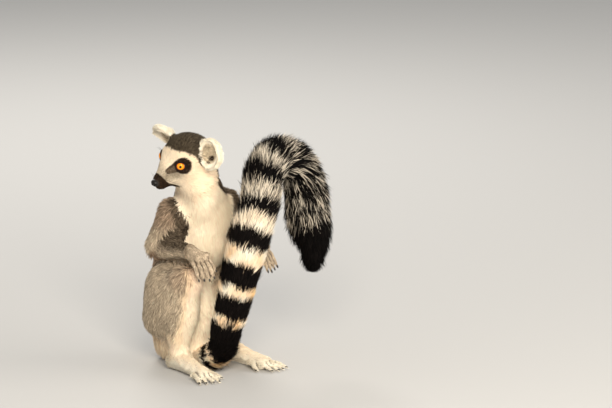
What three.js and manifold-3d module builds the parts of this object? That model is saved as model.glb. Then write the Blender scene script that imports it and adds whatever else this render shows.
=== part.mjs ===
// A ring-tailed lemur, Lemur catta, life size, sitting upright with its knees drawn up and its tail
// brought forward between its feet, up past its left shoulder and over to its left side.
// It is a still model: nothing moves. Every surface is the outline out to the tips of the coat.
//
// Millimetres, +Z up. The trunk faces -Y, so the animal's left is +X and its right is -X.
// The head is turned to the animal's right. The floor is z = 0, and the whole is centred over the
// origin at the very end.
//
// The body is modelled as forms, each a function that gives the distance from a point to a surface.
// They are blended into one another, given a mesh, and parted into the named members by thin cuts.
import * as THREE from 'three';
import { mergeVertices } from 'three/addons/utils/BufferGeometryUtils.js';
import Module from 'manifold-3d';

const wasm = await Module();
wasm.setup();

const P = (x, y, z) => new THREE.Vector3(x, y, z);
const { degToRad, lerp } = THREE.MathUtils;

// ---------------------------------------------------------------- driving dimensions

const cutWidth = 0.4; // the thin cut between one member and the next

// The spine, from the rump on the floor to the base of the neck: where it lies and how far the
// coat reaches from it.
const trunkLine = [
  { at: P(0, 58, 42), radius: 47 },
  { at: P(0, 66, 92), radius: 46 },
  { at: P(0, 60, 140), radius: 43 },
  { at: P(0, 40, 190), radius: 41 },
  { at: P(4, 22, 232), radius: 38 },
];
const waistHeight = 112; // the cut between the rump and the belly
const ribsHeight = 172; // the cut between the belly and the chest

// The head: its middle is midway between the roots of the ears.
const headMiddle = P(-30, 6, 327);
const headTurn = new THREE.Quaternion()
  .setFromAxisAngle(P(0, 0, 1), degToRad(-90)) // round to its right
  .multiply(new THREE.Quaternion().setFromAxisAngle(P(1, 0, 0), degToRad(15))) // nose down
  .multiply(new THREE.Quaternion().setFromAxisAngle(P(0, 1, 0), degToRad(11))); // right ear up
const neckRadius = 35;
const skullRadii = P(33, 33, 30); // across, lengthways, upright
const noseReach = 64; // from the middle of the head to the tip of the nose
const noseDrop = 27;
const muzzleStart = 41; // how far forward the muzzle is parted from the head
const eyeRadius = 8.6;
const eyeApart = 40; // from centre to centre
const eyeForward = 24;
const eyeDrop = 3;
const noseRadii = P(6.4, 6, 5.2);
const earLength = 45;
const earWidth = 48;
const earDepth = 19;
const earWall = 4;
const earSunk = 0.08; // how much of the ear's length is sunk in the head
const earRoot = P(31, 4, 5); // out, back and up from the middle of the head
const earAxes = { // out, back and up: where each ear points, and where its opening faces
  left: { out: P(30, 12, 11), open: P(0.3, -0.9, 0.4) },
  right: { out: P(-34, -12, 14), open: P(0.1, -0.88, -0.43) },
};

// Limbs, from joint to joint. The right hand lies over the right knee; the left one lies on the
// left knee, which the tail hides from in front.
const armBones = {
  right: {
    shoulder: P(-41, 18, 234), elbow: P(-54, 47, 183), wrist: P(-49, -30, 187),
    knuckles: P(-45, -53, 181), fingersRun: P(5, -6, -24), fingersAcross: P(8, -4, 2),
  },
  left: {
    shoulder: P(43, 18, 238), elbow: P(62, 53, 184), wrist: P(68, -20, 186),
    knuckles: P(72, -43, 178), fingersRun: P(3, -9, -22), fingersAcross: P(8.4, 2.4, 0.8),
  },
};
const shoulderRadius = 28;
const elbowRadius = 19;
const wristRadius = 12;
const legBones = {
  right: { hip: P(-36, 56, 72), knee: P(-44, -17, 143), ankle: P(-43, 7, 24), toes: P(-50, -68, 9) },
  left: { hip: P(37, 58, 72), knee: P(64, -6, 144), ankle: P(52, 18, 24), toes: P(66, -56, 9) },
};
const hipRadius = 33;
const kneeRadius = 24;
const ankleRadius = 15;

// Fingers and toes: apart is their spacing at the knuckles, spread is how much they part onward,
// shorter is how much each loses to the middle one, and behind is how far back they are rooted.
const fingers = {
  length: 31, radius: 3.1, apart: 0.97 * 6.4, spread: 0.05, shorter: 0.06, behind: 5,
  first: { length: 0.72 * 31, apart: 0.86 * 6.4, spread: 0.1, behind: 10 },
};
const toeRow = {
  length: 31, radius: 3.7, apart: 0.9 * 7.6, spread: 0.14, shorter: 0.07, behind: 7,
  first: { length: 0.8 * 31, apart: 0.7 * 7.6, spread: 0.3, behind: 22 },
};
const soleHalf = 12.2; // from the middle of the ball of the foot to its sides
const palmHalf = 9.6;

// The tail, from where it comes out under the rump to its tip.
const tailLine = new THREE.CatmullRomCurve3([
  P(0, 24, 19), P(0, -14, 21), P(1, -38, 36), P(3, -49, 66), P(10, -56, 102), P(20, -61, 150),
  P(34, -65, 200), P(56, -56, 244), P(74, -43, 282), P(100, -31, 306), P(132, -28, 302),
  P(155, -31, 271), P(163, -35, 226), P(166, -40, 182), P(162, -43, 140),
]);
const tailRootRadius = 23;
const tailRadius = 33;
const tailLengths = 9;
const ringsPerLength = 4;
const tailSides = 11;

// ---------------------------------------------------------------- forms

// A form is the signed distance from a point to its surface, and the room that the surface needs.
function form(distance, room) {
  return { distance, room };
}

function taper(start, end, startRadius, endRadius) {
  const line = new THREE.Line3(start, end);
  const nearest = new THREE.Vector3();
  const reach = Math.max(startRadius, endRadius);
  return form((point) => {
    const along = line.closestPointToPointParameter(point, true);
    line.at(along, nearest);
    return point.distanceTo(nearest) - lerp(startRadius, endRadius, along);
  }, new THREE.Box3().setFromPoints([start, end]).expandByScalar(reach));
}

function ellipsoid(middle, radii, turn = new THREE.Quaternion()) {
  const unturn = turn.clone().invert();
  const local = new THREE.Vector3();
  return form((point) => {
    local.copy(point).sub(middle).applyQuaternion(unturn).divide(radii);
    const outness = local.length();
    const steepness = local.divide(radii).length();
    return outness * (outness - 1) / Math.max(steepness, 1e-9);
  }, new THREE.Box3().setFromPoints([middle]).expandByScalar(Math.max(...radii.toArray())));
}

// Joins forms with a soft fillet of about the given width where they meet.
function blend(width, ...forms) {
  const room = new THREE.Box3();
  forms.forEach((each) => room.union(each.room));
  return form((point) => forms.map((each) => each.distance(point)).reduce((nearer, other) => {
    const overlap = Math.max(width - Math.abs(nearer - other), 0) / width;
    return Math.min(nearer, other) - overlap * overlap * width / 4;
  }), room.expandByScalar(width / 4));
}

function limb(fillet, ...joints) {
  const tapers = joints.slice(1).map((joint, index) => (
    taper(joints[index].at, joint.at, joints[index].radius, joint.radius)));
  return blend(fillet, ...tapers);
}

// ---------------------------------------------------------------- from form to mesh

// Walks a grid of cells over the form. Each cell that the surface crosses holds one corner of the
// mesh, which is then drawn onto the surface itself.
function surface(shape, cell) {
  const room = shape.room.clone().expandByScalar(2 * cell);
  const counts = room.getSize(new THREE.Vector3()).toArray().map((side) => Math.ceil(side / cell) + 1);
  const steps = [1, counts[0], counts[0] * counts[1]];
  const place = (i, j, k) => P(i, j, k).multiplyScalar(cell).add(room.min);
  const height = new Float64Array(counts[0] * counts[1] * counts[2]);
  for (let k = 0, index = 0; k < counts[2]; k += 1) {
    for (let j = 0; j < counts[1]; j += 1) {
      for (let i = 0; i < counts[0]; i += 1, index += 1) {
        height[index] = shape.distance(place(i, j, k));
      }
    }
  }
  const cornerOf = new Map();
  const corners = [];
  const cornerIn = (i, j, k) => {
    const index = i + j * steps[1] + k * steps[2];
    if (cornerOf.has(index)) return cornerOf.get(index);
    const crossing = new THREE.Vector3();
    let crossings = 0;
    for (let axis = 0; axis < 3; axis += 1) {
      for (let side = 0; side < 4; side += 1) {
        const offset = [0, 0, 0];
        offset[(axis + 1) % 3] = side & 1;
        offset[(axis + 2) % 3] = side >> 1;
        const from = index + offset[0] + offset[1] * steps[1] + offset[2] * steps[2];
        const before = height[from];
        const after = height[from + steps[axis]];
        if (before < 0 === after < 0) continue;
        const edge = place(i + offset[0], j + offset[1], k + offset[2]);
        edge.setComponent(axis, edge.getComponent(axis) + cell * before / (before - after));
        crossing.add(edge);
        crossings += 1;
      }
    }
    corners.push(drawn(crossing.divideScalar(crossings), shape, cell));
    cornerOf.set(index, corners.length - 1);
    return corners.length - 1;
  };
  const faces = [];
  for (let k = 1; k < counts[2] - 1; k += 1) {
    for (let j = 1; j < counts[1] - 1; j += 1) {
      for (let i = 1; i < counts[0] - 1; i += 1) {
        const index = i + j * steps[1] + k * steps[2];
        for (let axis = 0; axis < 3; axis += 1) {
          const inside = height[index] < 0;
          if (inside === height[index + steps[axis]] < 0) continue;
          const around = [[0, 0], [1, 0], [1, 1], [0, 1]].map(([a, b]) => {
            const at = [i, j, k];
            at[(axis + 1) % 3] -= a;
            at[(axis + 2) % 3] -= b;
            return cornerIn(...at);
          });
          if (!inside) around.reverse();
          const [a, b, c, d] = around;
          const shortSplit = corners[a].distanceTo(corners[c]) < corners[b].distanceTo(corners[d]);
          faces.push(...(shortSplit ? [a, b, c, a, c, d] : [b, c, d, b, d, a]));
        }
      }
    }
  }
  return indexed(corners, faces);
}

function drawn(corner, shape, cell) {
  const nudge = 0.05;
  const slope = new THREE.Vector3();
  const probe = new THREE.Vector3();
  const start = corner.clone();
  for (let step = 0; step < 3; step += 1) {
    for (let axis = 0; axis < 3; axis += 1) {
      const rise = [1, -1].map((sign) => {
        probe.copy(corner).setComponent(axis, corner.getComponent(axis) + sign * nudge);
        return shape.distance(probe);
      });
      slope.setComponent(axis, (rise[0] - rise[1]) / (2 * nudge));
    }
    corner.addScaledVector(slope, -shape.distance(corner) / Math.max(slope.lengthSq(), 0.2));
  }
  const shift = corner.clone().sub(start).clampLength(0, 0.45 * cell);
  return start.add(shift);
}

function indexed(corners, faces) {
  const geometry = new THREE.BufferGeometry();
  const flat = corners.flatMap((corner) => corner.toArray());
  geometry.setAttribute('position', new THREE.Float32BufferAttribute(flat, 3));
  geometry.setIndex(faces);
  return geometry;
}

// A tube with flat ends through rings of corners that all have the same number of sides.
function loft(rings) {
  const sides = rings[0].length;
  const corners = rings.flat();
  const faces = [];
  for (let ring = 0; ring < rings.length - 1; ring += 1) {
    for (let side = 0; side < sides; side += 1) {
      const a = ring * sides + side;
      const b = ring * sides + (side + 1) % sides;
      faces.push(a, b, b + sides, a, b + sides, a + sides);
    }
  }
  [[0, false], [rings.length - 1, true]].forEach(([ring, last]) => {
    const middle = corners.length;
    corners.push(rings[ring].reduce((sum, corner) => sum.add(corner), P(0, 0, 0)).divideScalar(sides));
    for (let side = 0; side < sides; side += 1) {
      const a = ring * sides + side;
      const b = ring * sides + (side + 1) % sides;
      faces.push(...(last ? [middle, a, b] : [middle, b, a]));
    }
  });
  return indexed(corners, faces);
}

function ring(middle, across, upward, radius, sides) {
  return Array.from({ length: sides }, (_, side) => {
    const angle = 2 * Math.PI * side / sides;
    return middle.clone()
      .addScaledVector(across, radius * Math.cos(angle))
      .addScaledVector(upward, radius * Math.sin(angle));
  });
}

// ---------------------------------------------------------------- solids: join and cut

function solid(geometry) {
  const bare = new THREE.BufferGeometry();
  bare.setAttribute('position', geometry.getAttribute('position').clone());
  if (geometry.index) bare.setIndex(geometry.index.clone());
  const merged = mergeVertices(bare, 1e-4);
  return new wasm.Manifold(new wasm.Mesh({
    numProp: 3,
    vertProperties: new Float32Array(merged.getAttribute('position').array),
    triVerts: new Uint32Array(merged.index.array),
  }));
}

// The same shape a cut's width larger all round, to cut its neighbours with.
function around(geometry) {
  const larger = geometry.clone();
  larger.computeVertexNormals();
  const place = larger.getAttribute('position');
  const normal = larger.getAttribute('normal');
  for (let index = 0; index < place.array.length; index += 1) {
    place.array[index] += cutWidth * normal.array[index];
  }
  return solid(larger);
}

// Everything on the side of a plane that its normal points to.
function beyond(point, normal) {
  const size = 1200;
  const block = new THREE.BoxGeometry(size, size, size);
  block.translate(0, 0, size / 2);
  block.applyQuaternion(new THREE.Quaternion().setFromUnitVectors(P(0, 0, 1), normal.clone().normalize()));
  block.translate(...point.toArray());
  return solid(block);
}

const aboveFloor = beyond(P(0, 0, 0), P(0, 0, 1));

// Parts a solid in two at a plane, with half of the thin cut taken from each.
function part(whole, point, normal) {
  const half = normal.clone().normalize().multiplyScalar(cutWidth / 2);
  return [
    whole.intersect(beyond(point.clone().sub(half), normal.clone().negate())),
    whole.intersect(beyond(point.clone().add(half), normal)),
  ];
}

// Keeps the largest body of what a cut leaves.
function largest(pieces) {
  const bodies = pieces.decompose();
  return bodies.reduce((best, body) => (body.volume() > best.volume() ? body : best));
}

const lemur = new THREE.Group();

function add(name, body, colour, roughness = 0.9) {
  const mesh = body.getMesh();
  const geometry = new THREE.BufferGeometry();
  geometry.setAttribute('position', new THREE.BufferAttribute(new Float32Array(mesh.vertProperties), 3));
  geometry.setIndex(new THREE.BufferAttribute(new Uint32Array(mesh.triVerts), 1));
  geometry.computeVertexNormals();
  const material = new THREE.MeshStandardMaterial({ color: colour, roughness, metalness: 0 });
  const member = new THREE.Mesh(geometry, material);
  member.name = name;
  lemur.add(member);
}

const greyCoat = 0x8c8680;
const darkCoat = 0x45403c;
const paleCoat = 0xeee2cc;
const blackCoat = 0x14110f;
const amberEye = 0xd9780f;
const noseSkin = 0x191513;

// ---------------------------------------------------------------- the whole body's form

// The sizes of the mesh cells: larger where the body is plain, smaller where it has more shape.
const trunkCell = 17;
const limbCell = 15;
const headCell = 9.6;
const muzzleCell = 6.5;
const footCell = 12.5;
const palmCell = 10;

const trunkForm = blend(
  26,
  limb(12, ...trunkLine),
  taper(P(0, 94, 58), P(0, 86, 22), 18, 20), // the root of the tail, down the back of the rump
  ellipsoid(P(0, 0, 206), P(30, 24, 42)), // the deep hair of the breast
  ellipsoid(P(0, 30, 78), P(34, 34, 44)), // the belly between the thighs
  ellipsoid(P(0, 62, 198), P(36, 22, 40)), // the shoulder blades
);

const atHead = (left, back, up) => P(left, back, up).applyQuaternion(headTurn).add(headMiddle);
const headward = P(0, -1, 0).applyQuaternion(headTurn);
const bothSides = (make) => [1, -1].map(make);
const sideName = (side) => (side > 0 ? 'left' : 'right');

const neckForm = blend(
  18,
  taper(P(10, 20, 236), atHead(0, 8, -12), neckRadius + 6, neckRadius - 4),
  ellipsoid(P(-20, -12, 262), P(24, 24, 30)), // the throat's ruff
);
const headForm = blend(
  11,
  ellipsoid(atHead(0, 2, 0), skullRadii, headTurn),
  ellipsoid(atHead(0, -22, -8), P(20, 21, 21), headTurn), // the brow and the face
  ...bothSides((side) => ellipsoid(atHead(side * 18, -6, -17), P(16, 21, 17), headTurn)), // cheeks
  ...bothSides((side) => ellipsoid(atHead(side * 15, -20, -3), P(10, 9, 11), headTurn)), // orbits
  taper(atHead(0, -30, -14), atHead(0, -noseReach + 11, -noseDrop + 2), 15.5, 9.5),
  taper(atHead(0, -6, -25), atHead(0, -noseReach + 15, -noseDrop - 6), 16, 7),
);
const bodyForm = blend(16, trunkForm, neckForm, headForm);

// ---------------------------------------------------------------- rump, belly, chest and neck

// Each cut is a plane with its normal towards the head.
const waistCut = [P(0, 40, waistHeight), P(0, -0.25, 1)];
const ribsCut = [P(0, 40, ribsHeight), P(0, -0.45, 1)];
const shoulderCut = [P(0, 18, 250), P(-0.1, -0.35, 1)];
const neckCut = [P(-16, 8, 284), P(-0.42, -0.2, 1)];
const muzzleCut = [atHead(0, -muzzleStart, 0), headward];

const bodyMesh = surface(bodyForm, trunkCell);
const bodyAround = around(bodyMesh);
const [rump, aboveWaist] = part(solid(bodyMesh).intersect(aboveFloor), ...waistCut);
const [belly, aboveRibs] = part(aboveWaist, ...ribsCut);
const [chest, aboveShoulders] = part(aboveRibs, ...shoulderCut);
const neck = part(aboveShoulders, ...neckCut)[0];

add('rump', rump, greyCoat);
add('belly', belly, paleCoat);
add('chest', chest, paleCoat);
add('neck', neck, paleCoat);

// ---------------------------------------------------------------- head

const eyePlace = (side) => atHead(side * eyeApart / 2, -eyeForward, -eyeDrop);
const eyeball = new THREE.SphereGeometry(eyeRadius, 10, 7);
const eyeSeat = new THREE.SphereGeometry(eyeRadius + 2 * cutWidth, 10, 7);
const noseForm = ellipsoid(atHead(0, -noseReach + 5, -noseDrop + 1), noseRadii, headTurn);

const noseMesh = surface(noseForm, 3.4);
const headMesh = surface(bodyForm, headCell);
const headAround = around(headMesh);

let skull = part(solid(headMesh), ...neckCut)[1];
bothSides((side) => {
  skull = skull.subtract(solid(eyeSeat.clone().translate(...eyePlace(side).toArray())));
  add(`eye_${sideName(side)}`, solid(eyeball.clone().translate(...eyePlace(side).toArray())),
    amberEye, 0.1);
});
add('head', largest(part(skull, ...muzzleCut)[0]), paleCoat);

const snout = part(solid(surface(headForm, muzzleCell)), ...muzzleCut)[1];
add('muzzle', largest(snout.subtract(around(noseMesh))), darkCoat);
add('nose', solid(noseMesh), noseSkin, 0.35);

// A shallow cup that stands out from the side of the head.
bothSides((side) => {
  const name = sideName(side);
  const out = earAxes[name].out.clone().normalize();
  const open = earAxes[name].open.clone();
  open.addScaledVector(out, -open.dot(out)).normalize();
  const turn = headTurn.clone().multiply(new THREE.Quaternion().setFromRotationMatrix(
    new THREE.Matrix4().makeBasis(out, new THREE.Vector3().crossVectors(open, out), open),
  ));
  const middle = P(side * earRoot.x, earRoot.y, earRoot.z)
    .addScaledVector(out, (0.5 - earSunk) * earLength);
  const rim = new THREE.SphereGeometry(1, 12, 6);
  rim.scale(earLength / 2, earWidth / 2, earDepth / 2);
  const hollow = new THREE.SphereGeometry(1, 9, 6);
  hollow.scale(earLength / 2 - earWall, earWidth / 2 - earWall, earDepth / 2);
  hollow.translate(0, 0, earWall + 0.5);
  const [cup, inside] = [rim, hollow].map((bowl) => solid(
    bowl.applyQuaternion(turn).translate(...atHead(...middle.toArray()).toArray()),
  ));
  add(`ear_${name}`, largest(cup.subtract(inside).subtract(headAround)), paleCoat);
});

// ---------------------------------------------------------------- fingers and toes

// A slender tube that bends once and ends round.
function digit(start, bend, tip, radius) {
  const line = new THREE.QuadraticBezierCurve3(start, bend, tip);
  const sides = 5;
  const stations = [0, 0.4, 0.8, 1];
  const girth = [1, 0.95, 0.84, 0.4];
  const across = new THREE.Vector3();
  const upward = new THREE.Vector3();
  return solid(loft(stations.map((station, index) => {
    const ahead = line.getTangent(station);
    across.crossVectors(ahead, P(0.31, 0.12, 0.94)).normalize();
    upward.crossVectors(ahead, across);
    return ring(line.getPoint(station), across, upward, radius * girth[index], sides);
  })));
}

// Five digits side by side. The first, the thumb or great toe, is shorter and stands away.
function withDigits(palm, knuckles, { run, back, across, innerSide }, sizes, line) {
  let whole = palm;
  for (let count = -2; count <= 2; count += 1) {
    const first = count === 2 * innerSide;
    const { apart, spread, behind } = first ? sizes.first : sizes;
    const length = first ? sizes.first.length : sizes.length * (1 - sizes.shorter * Math.abs(count));
    const out = run.clone().addScaledVector(across, spread * count);
    const start = knuckles.clone().addScaledVector(across, apart * count).addScaledVector(back, behind);
    whole = whole.add(digit(...line(start, out, length), sizes.radius));
  }
  return whole;
}

// ---------------------------------------------------------------- legs

// Thigh and calf are folded together, so from the side they show as one deep oval.
function legForm({ hip, knee, ankle }) {
  const outward = P(Math.sign(knee.x) * 3, 2, 6);
  return blend(
    10,
    limb(8, { at: hip, radius: hipRadius }, { at: knee, radius: kneeRadius },
      { at: ankle, radius: ankleRadius }),
    ellipsoid(hip.clone().lerp(knee, 0.36).add(outward), P(28, 56, 58)), // the thigh
    ellipsoid(knee.clone().lerp(ankle, 0.42).add(P(-Math.sign(knee.x) * 3, 12, 0)), P(28, 30, 42)), // calf
  );
}

function foot({ ankle, toes }) {
  const run = toes.clone().sub(ankle).setZ(0).normalize();
  const across = P(-run.y, run.x, 0);
  const innerSide = -Math.sign(across.x * ankle.x);
  const heel = P(ankle.x, ankle.y, 11).addScaledVector(run, -14);
  const ball = P(toes.x, toes.y, 8);
  const edges = [-1, 1].map((side) => ball.clone().addScaledVector(across, side * soleHalf));
  const sole = blend(
    8,
    taper(ankle.clone().add(P(0, 0, 9)), heel, 14, 11),
    taper(ankle, ball, 13, 9),
    taper(heel, ball, 10, 8),
    taper(edges[0], edges[1], 7.5, 7.5),
  );
  const lie = { run, back: run.clone().negate(), across, innerSide };
  return withDigits(solid(surface(sole, footCell)), ball, lie, toeRow, (start, out, length) => {
    const knuckle = start.clone().addScaledVector(run, 6);
    return [
      start,
      knuckle.clone().addScaledVector(out, 0.5 * length).setZ(10),
      knuckle.clone().addScaledVector(out, length).setZ(0.6 * toeRow.radius),
    ];
  });
}

const legsAround = {};
Object.entries(legBones).forEach(([name, bones]) => {
  const { hip, knee, ankle } = bones;
  const legMesh = surface(legForm(bones), limbCell);
  const whole = solid(legMesh).intersect(aboveFloor);
  const ankleCut = [ankle.clone().add(P(0, 0, 9)), P(0, 0, 1)];
  const fold = knee.clone().sub(hip.clone().lerp(ankle, 0.6));
  const kneeCut = [knee.clone().add(P(0, 6, 0)), P(1, 0, 0).cross(fold)];
  const [shin, thigh] = part(part(whole, ...ankleCut)[1], ...kneeCut);
  add(`thigh_${name}`, largest(thigh.subtract(bodyAround)), greyCoat);
  add(`shin_${name}`, largest(shin.subtract(bodyAround)), greyCoat);
  const paw = foot(bones).intersect(aboveFloor).subtract(bodyAround);
  add(`foot_${name}`, largest(part(paw, ...ankleCut)[0]), paleCoat);
  legsAround[name] = around(legMesh);
});

// ---------------------------------------------------------------- arms

function armForm({ shoulder, elbow, wrist }) {
  return blend(
    8,
    limb(6, { at: shoulder, radius: shoulderRadius }, { at: elbow, radius: elbowRadius },
      { at: wrist, radius: wristRadius }),
    ellipsoid(elbow.clone().lerp(wrist, 0.3), P(17, 30, 17)),
  );
}

function hand({ wrist, knuckles, fingersRun, fingersAcross }) {
  const run = fingersRun.clone().normalize();
  const across = fingersAcross.clone().normalize();
  const innerSide = -Math.sign(across.x * wrist.x);
  const onward = knuckles.clone().sub(wrist).normalize();
  const edges = [-1, 1].map((side) => knuckles.clone().addScaledVector(across, side * palmHalf));
  const palm = blend(6, taper(wrist, knuckles, wristRadius, 9), taper(edges[0], edges[1], 7, 7));
  const lie = { run, back: onward.clone().negate(), across, innerSide };
  return withDigits(solid(surface(palm, palmCell)), knuckles, lie, fingers, (from, out, length) => {
    const start = from.clone().addScaledVector(out, 2);
    return [
      start,
      start.clone().addScaledVector(onward, 14).addScaledVector(out, 0.2 * length),
      start.clone().addScaledVector(onward, 10).addScaledVector(out, length),
    ];
  });
}

Object.entries(armBones).forEach(([name, bones]) => {
  const { shoulder, elbow, wrist } = bones;
  const arm = solid(surface(armForm(bones), limbCell)).subtract(bodyAround).subtract(legsAround[name]);
  const inward = shoulder.clone().lerp(wrist, 0.5).sub(elbow);
  const elbowCut = [elbow.clone().addScaledVector(inward, 0.2), wrist.clone().sub(shoulder)];
  const along = wrist.clone().sub(elbow).normalize();
  const wristCut = [wrist.clone().addScaledVector(along, -4), along];
  const [upper, lower] = part(arm, ...elbowCut);
  add(`upper_arm_${name}`, largest(upper), greyCoat);
  add(`forearm_${name}`, largest(part(lower, ...wristCut)[0]), greyCoat);
  const paw = hand(bones).subtract(legsAround[name]);
  add(`hand_${name}`, largest(part(paw, ...wristCut)[1]), darkCoat);
});

// ---------------------------------------------------------------- tail

// The tail swells from its root, keeps its girth past the shoulder, and closes in a blunt brush.
function tailGirth(along) {
  const swelling = lerp(tailRootRadius, tailRadius, THREE.MathUtils.smoothstep(along, 0.05, 0.4));
  const brush = Math.sqrt(Math.max(1 - Math.max((along - 0.86) / 0.145, 0) ** 2, 0));
  return swelling * brush;
}

const tailSteps = tailLengths * ringsPerLength;
const tailFrames = tailLine.computeFrenetFrames(tailSteps);
for (let length = 0; length < tailLengths; length += 1) {
  const rings = [];
  for (let step = 0; step <= ringsPerLength; step += 1) {
    const station = length * ringsPerLength + step;
    const along = station / tailSteps;
    const inset = (step === 0 ? 1 : step === ringsPerLength ? -1 : 0) * cutWidth / 2;
    const middle = tailLine.getPointAt(along).addScaledVector(tailFrames.tangents[station], inset);
    rings.push(ring(middle, tailFrames.normals[station], tailFrames.binormals[station],
      tailGirth(along), tailSides));
  }
  let stretch = solid(loft(rings)).intersect(aboveFloor);
  if (length < 2) stretch = stretch.subtract(bodyAround);
  add(`tail_${length + 1}`, largest(stretch), length === tailLengths - 1 ? blackCoat : greyCoat);
}

// ---------------------------------------------------------------- place

const extent = new THREE.Box3().setFromObject(lemur);
const centre = extent.getCenter(new THREE.Vector3());
lemur.position.set(-centre.x, -centre.y, -extent.min.z);

export default lemur;
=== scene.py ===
"""The looks of a still, life-size ring-tailed lemur, Lemur catta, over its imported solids.

One skin stands for every member of flesh. The coat lies over it in locks of hair, each a closed
blade that rises from the skin to the outline of the solids. Eyes, nose, whiskers and nails are
their own pieces. The tables and the head's own coordinates are in millimetres, as in the part's
source; meshes are in metres.
"""

import math

import bpy
import numpy as np
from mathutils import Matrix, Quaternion, Vector
from mathutils.bvhtree import BVHTree
from mathutils.kdtree import KDTree


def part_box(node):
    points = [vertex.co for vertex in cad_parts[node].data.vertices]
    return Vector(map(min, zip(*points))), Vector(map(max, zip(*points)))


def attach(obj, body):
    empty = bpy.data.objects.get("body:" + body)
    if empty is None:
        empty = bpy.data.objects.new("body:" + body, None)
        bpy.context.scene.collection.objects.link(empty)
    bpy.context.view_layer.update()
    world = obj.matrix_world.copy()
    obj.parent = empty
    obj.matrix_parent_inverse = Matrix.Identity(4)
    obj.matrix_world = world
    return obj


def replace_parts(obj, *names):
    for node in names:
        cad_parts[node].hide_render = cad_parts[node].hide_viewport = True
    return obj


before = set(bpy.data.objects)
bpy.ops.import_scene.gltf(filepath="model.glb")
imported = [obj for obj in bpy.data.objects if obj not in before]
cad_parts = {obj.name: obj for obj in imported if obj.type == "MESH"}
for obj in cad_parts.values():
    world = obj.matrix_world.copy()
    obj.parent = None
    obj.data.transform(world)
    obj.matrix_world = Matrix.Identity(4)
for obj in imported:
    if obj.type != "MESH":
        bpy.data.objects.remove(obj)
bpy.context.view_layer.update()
bpy.ops.object.select_all(action="DESELECT")

MM = 0.001
chance = np.random.default_rng(1758)

# ---------------------------------------------------------------- the lemur's own lines

SIDES = {"left": 1, "right": -1}
HEAD_MIDDLE = np.array([-30.0, 6.0, 327.0])
HEAD_TURN = (
    Quaternion((0, 0, 1), math.radians(-90))
    @ Quaternion((1, 0, 0), math.radians(15))
    @ Quaternion((0, 1, 0), math.radians(11))
)
HEAD_AXES = np.array(HEAD_TURN.to_matrix())  # its columns point left, back and up

# In the head's own coordinates: left (or out), back and up from its middle.
EYE_RADIUS = 8.6
EYE_APART = 40
EYE_FORWARD = 24
EYE_DROP = 3
EYE_OPENING = (math.radians(53), math.radians(36))  # half of it, sideways and upright
GAZE = {"left": (0.73, -0.66, 0.165), "right": (-0.56, -0.81, 0.165)}
NOSE_TIP = np.array([0.0, -64.0, -27.0])
NOSE_MIDDLE = NOSE_TIP + [0, 5, 1]
NOSE_RADII = np.array([6.4, 6.0, 5.2])
MOUTH = [(0, -60, -33), (5, -56.5, -35.5), (9, -50, -37), (11.5, -41, -37.5), (13.5, -30, -38.5)]
EAR_LENGTH = 45
EAR_ROOT = np.array([31.0, 4.0, 5.0])
EAR_OUT = {"left": (30, 12, 11), "right": (-34, -12, 14)}
EAR_OPEN = {"left": (0.3, -0.9, 0.4), "right": (0.1, -0.88, -0.43)}
EAR_STANDS = 0.42  # how far out from its root the ear's middle is, as a share of its length

BONES = {
    "upper_arm_right": ((-41, 18, 234), (-54, 47, 183)),
    "forearm_right": ((-54, 47, 183), (-49, -30, 187)),
    "hand_right": ((-49, -30, 187), (-45, -53, 181)),
    "upper_arm_left": ((43, 18, 238), (62, 53, 184)),
    "forearm_left": ((62, 53, 184), (68, -20, 186)),
    "hand_left": ((68, -20, 186), (72, -43, 178)),
    "thigh_right": ((-36, 56, 72), (-44, -17, 143)),
    "shin_right": ((-44, -17, 143), (-43, 7, 24)),
    "foot_right": ((-43, 7, 24), (-50, -68, 9)),
    "thigh_left": ((37, 58, 72), (64, -6, 144)),
    "shin_left": ((64, -6, 144), (52, 18, 24)),
    "foot_left": ((52, 18, 24), (66, -56, 9)),
}
FINGERS_RUN = {"right": (5, -6, -24), "left": (3, -9, -22)}
FINGERS_ACROSS = {"right": (8, -4, 2), "left": (8.4, 2.4, 0.8)}

# Fingers and toes, as in the part's source: the radius, and what each loses to the middle one;
# then for all, and for the first: length, spacing, spread, and how far back it is rooted.
DIGITS = {
    "hand": {
        "radius": 3.1, "shorter": 0.06, "all": (31, 6.21, 0.05, 5), "first": (22.3, 5.5, 0.1, 10)
    },
    "foot": {
        "radius": 3.7, "shorter": 0.07, "all": (31, 6.84, 0.14, 7), "first": (24.8, 5.32, 0.3, 22)
    },
}
TAIL_POINTS = [
    (0, 24, 19), (0, -14, 21), (1, -38, 36), (3, -49, 66), (10, -56, 102), (20, -61, 150),
    (34, -65, 200), (56, -56, 244), (74, -43, 282), (100, -31, 306), (132, -28, 302),
    (155, -31, 271), (163, -35, 226), (166, -40, 182), (162, -43, 140),
]
TAIL_PARTS = 9  # the solids of the tail, of one length each


def middle_of(node):
    low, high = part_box(node)
    return np.array((low + high) / 2)


def head_point(left, back, up):
    """A place given in the head's own coordinates, in the part's source coordinates."""
    return HEAD_MIDDLE + HEAD_AXES @ np.array([left, back, up], float)


# Where the source's own zero lies in the row frame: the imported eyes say.
ZERO = (middle_of("eye_left") + middle_of("eye_right")) / 2 - MM * head_point(
    0, -EYE_FORWARD, -EYE_DROP
)


def row(points):
    """Source coordinates in millimetres to the row frame in metres."""
    return ZERO + MM * np.asarray(points, float)


def source(places):
    """The row frame in metres to source coordinates in millimetres."""
    return (np.asarray(places, float) - ZERO) / MM


def in_head(points):
    """Source coordinates to the head's own: left, back, up."""
    return (points - HEAD_MIDDLE) @ HEAD_AXES


def in_half_head(points):
    """The head's own coordinates, with its right side laid over its left."""
    head = in_head(points)
    head[:, 0] = np.abs(head[:, 0])
    return head


def bone(name):
    """Where the line through a member starts and ends."""
    return tuple(np.array(place, float) for place in BONES[name])


def unit(vectors):
    length = np.linalg.norm(vectors, axis=-1, keepdims=True)
    return vectors / np.maximum(length, 1e-9)


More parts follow.
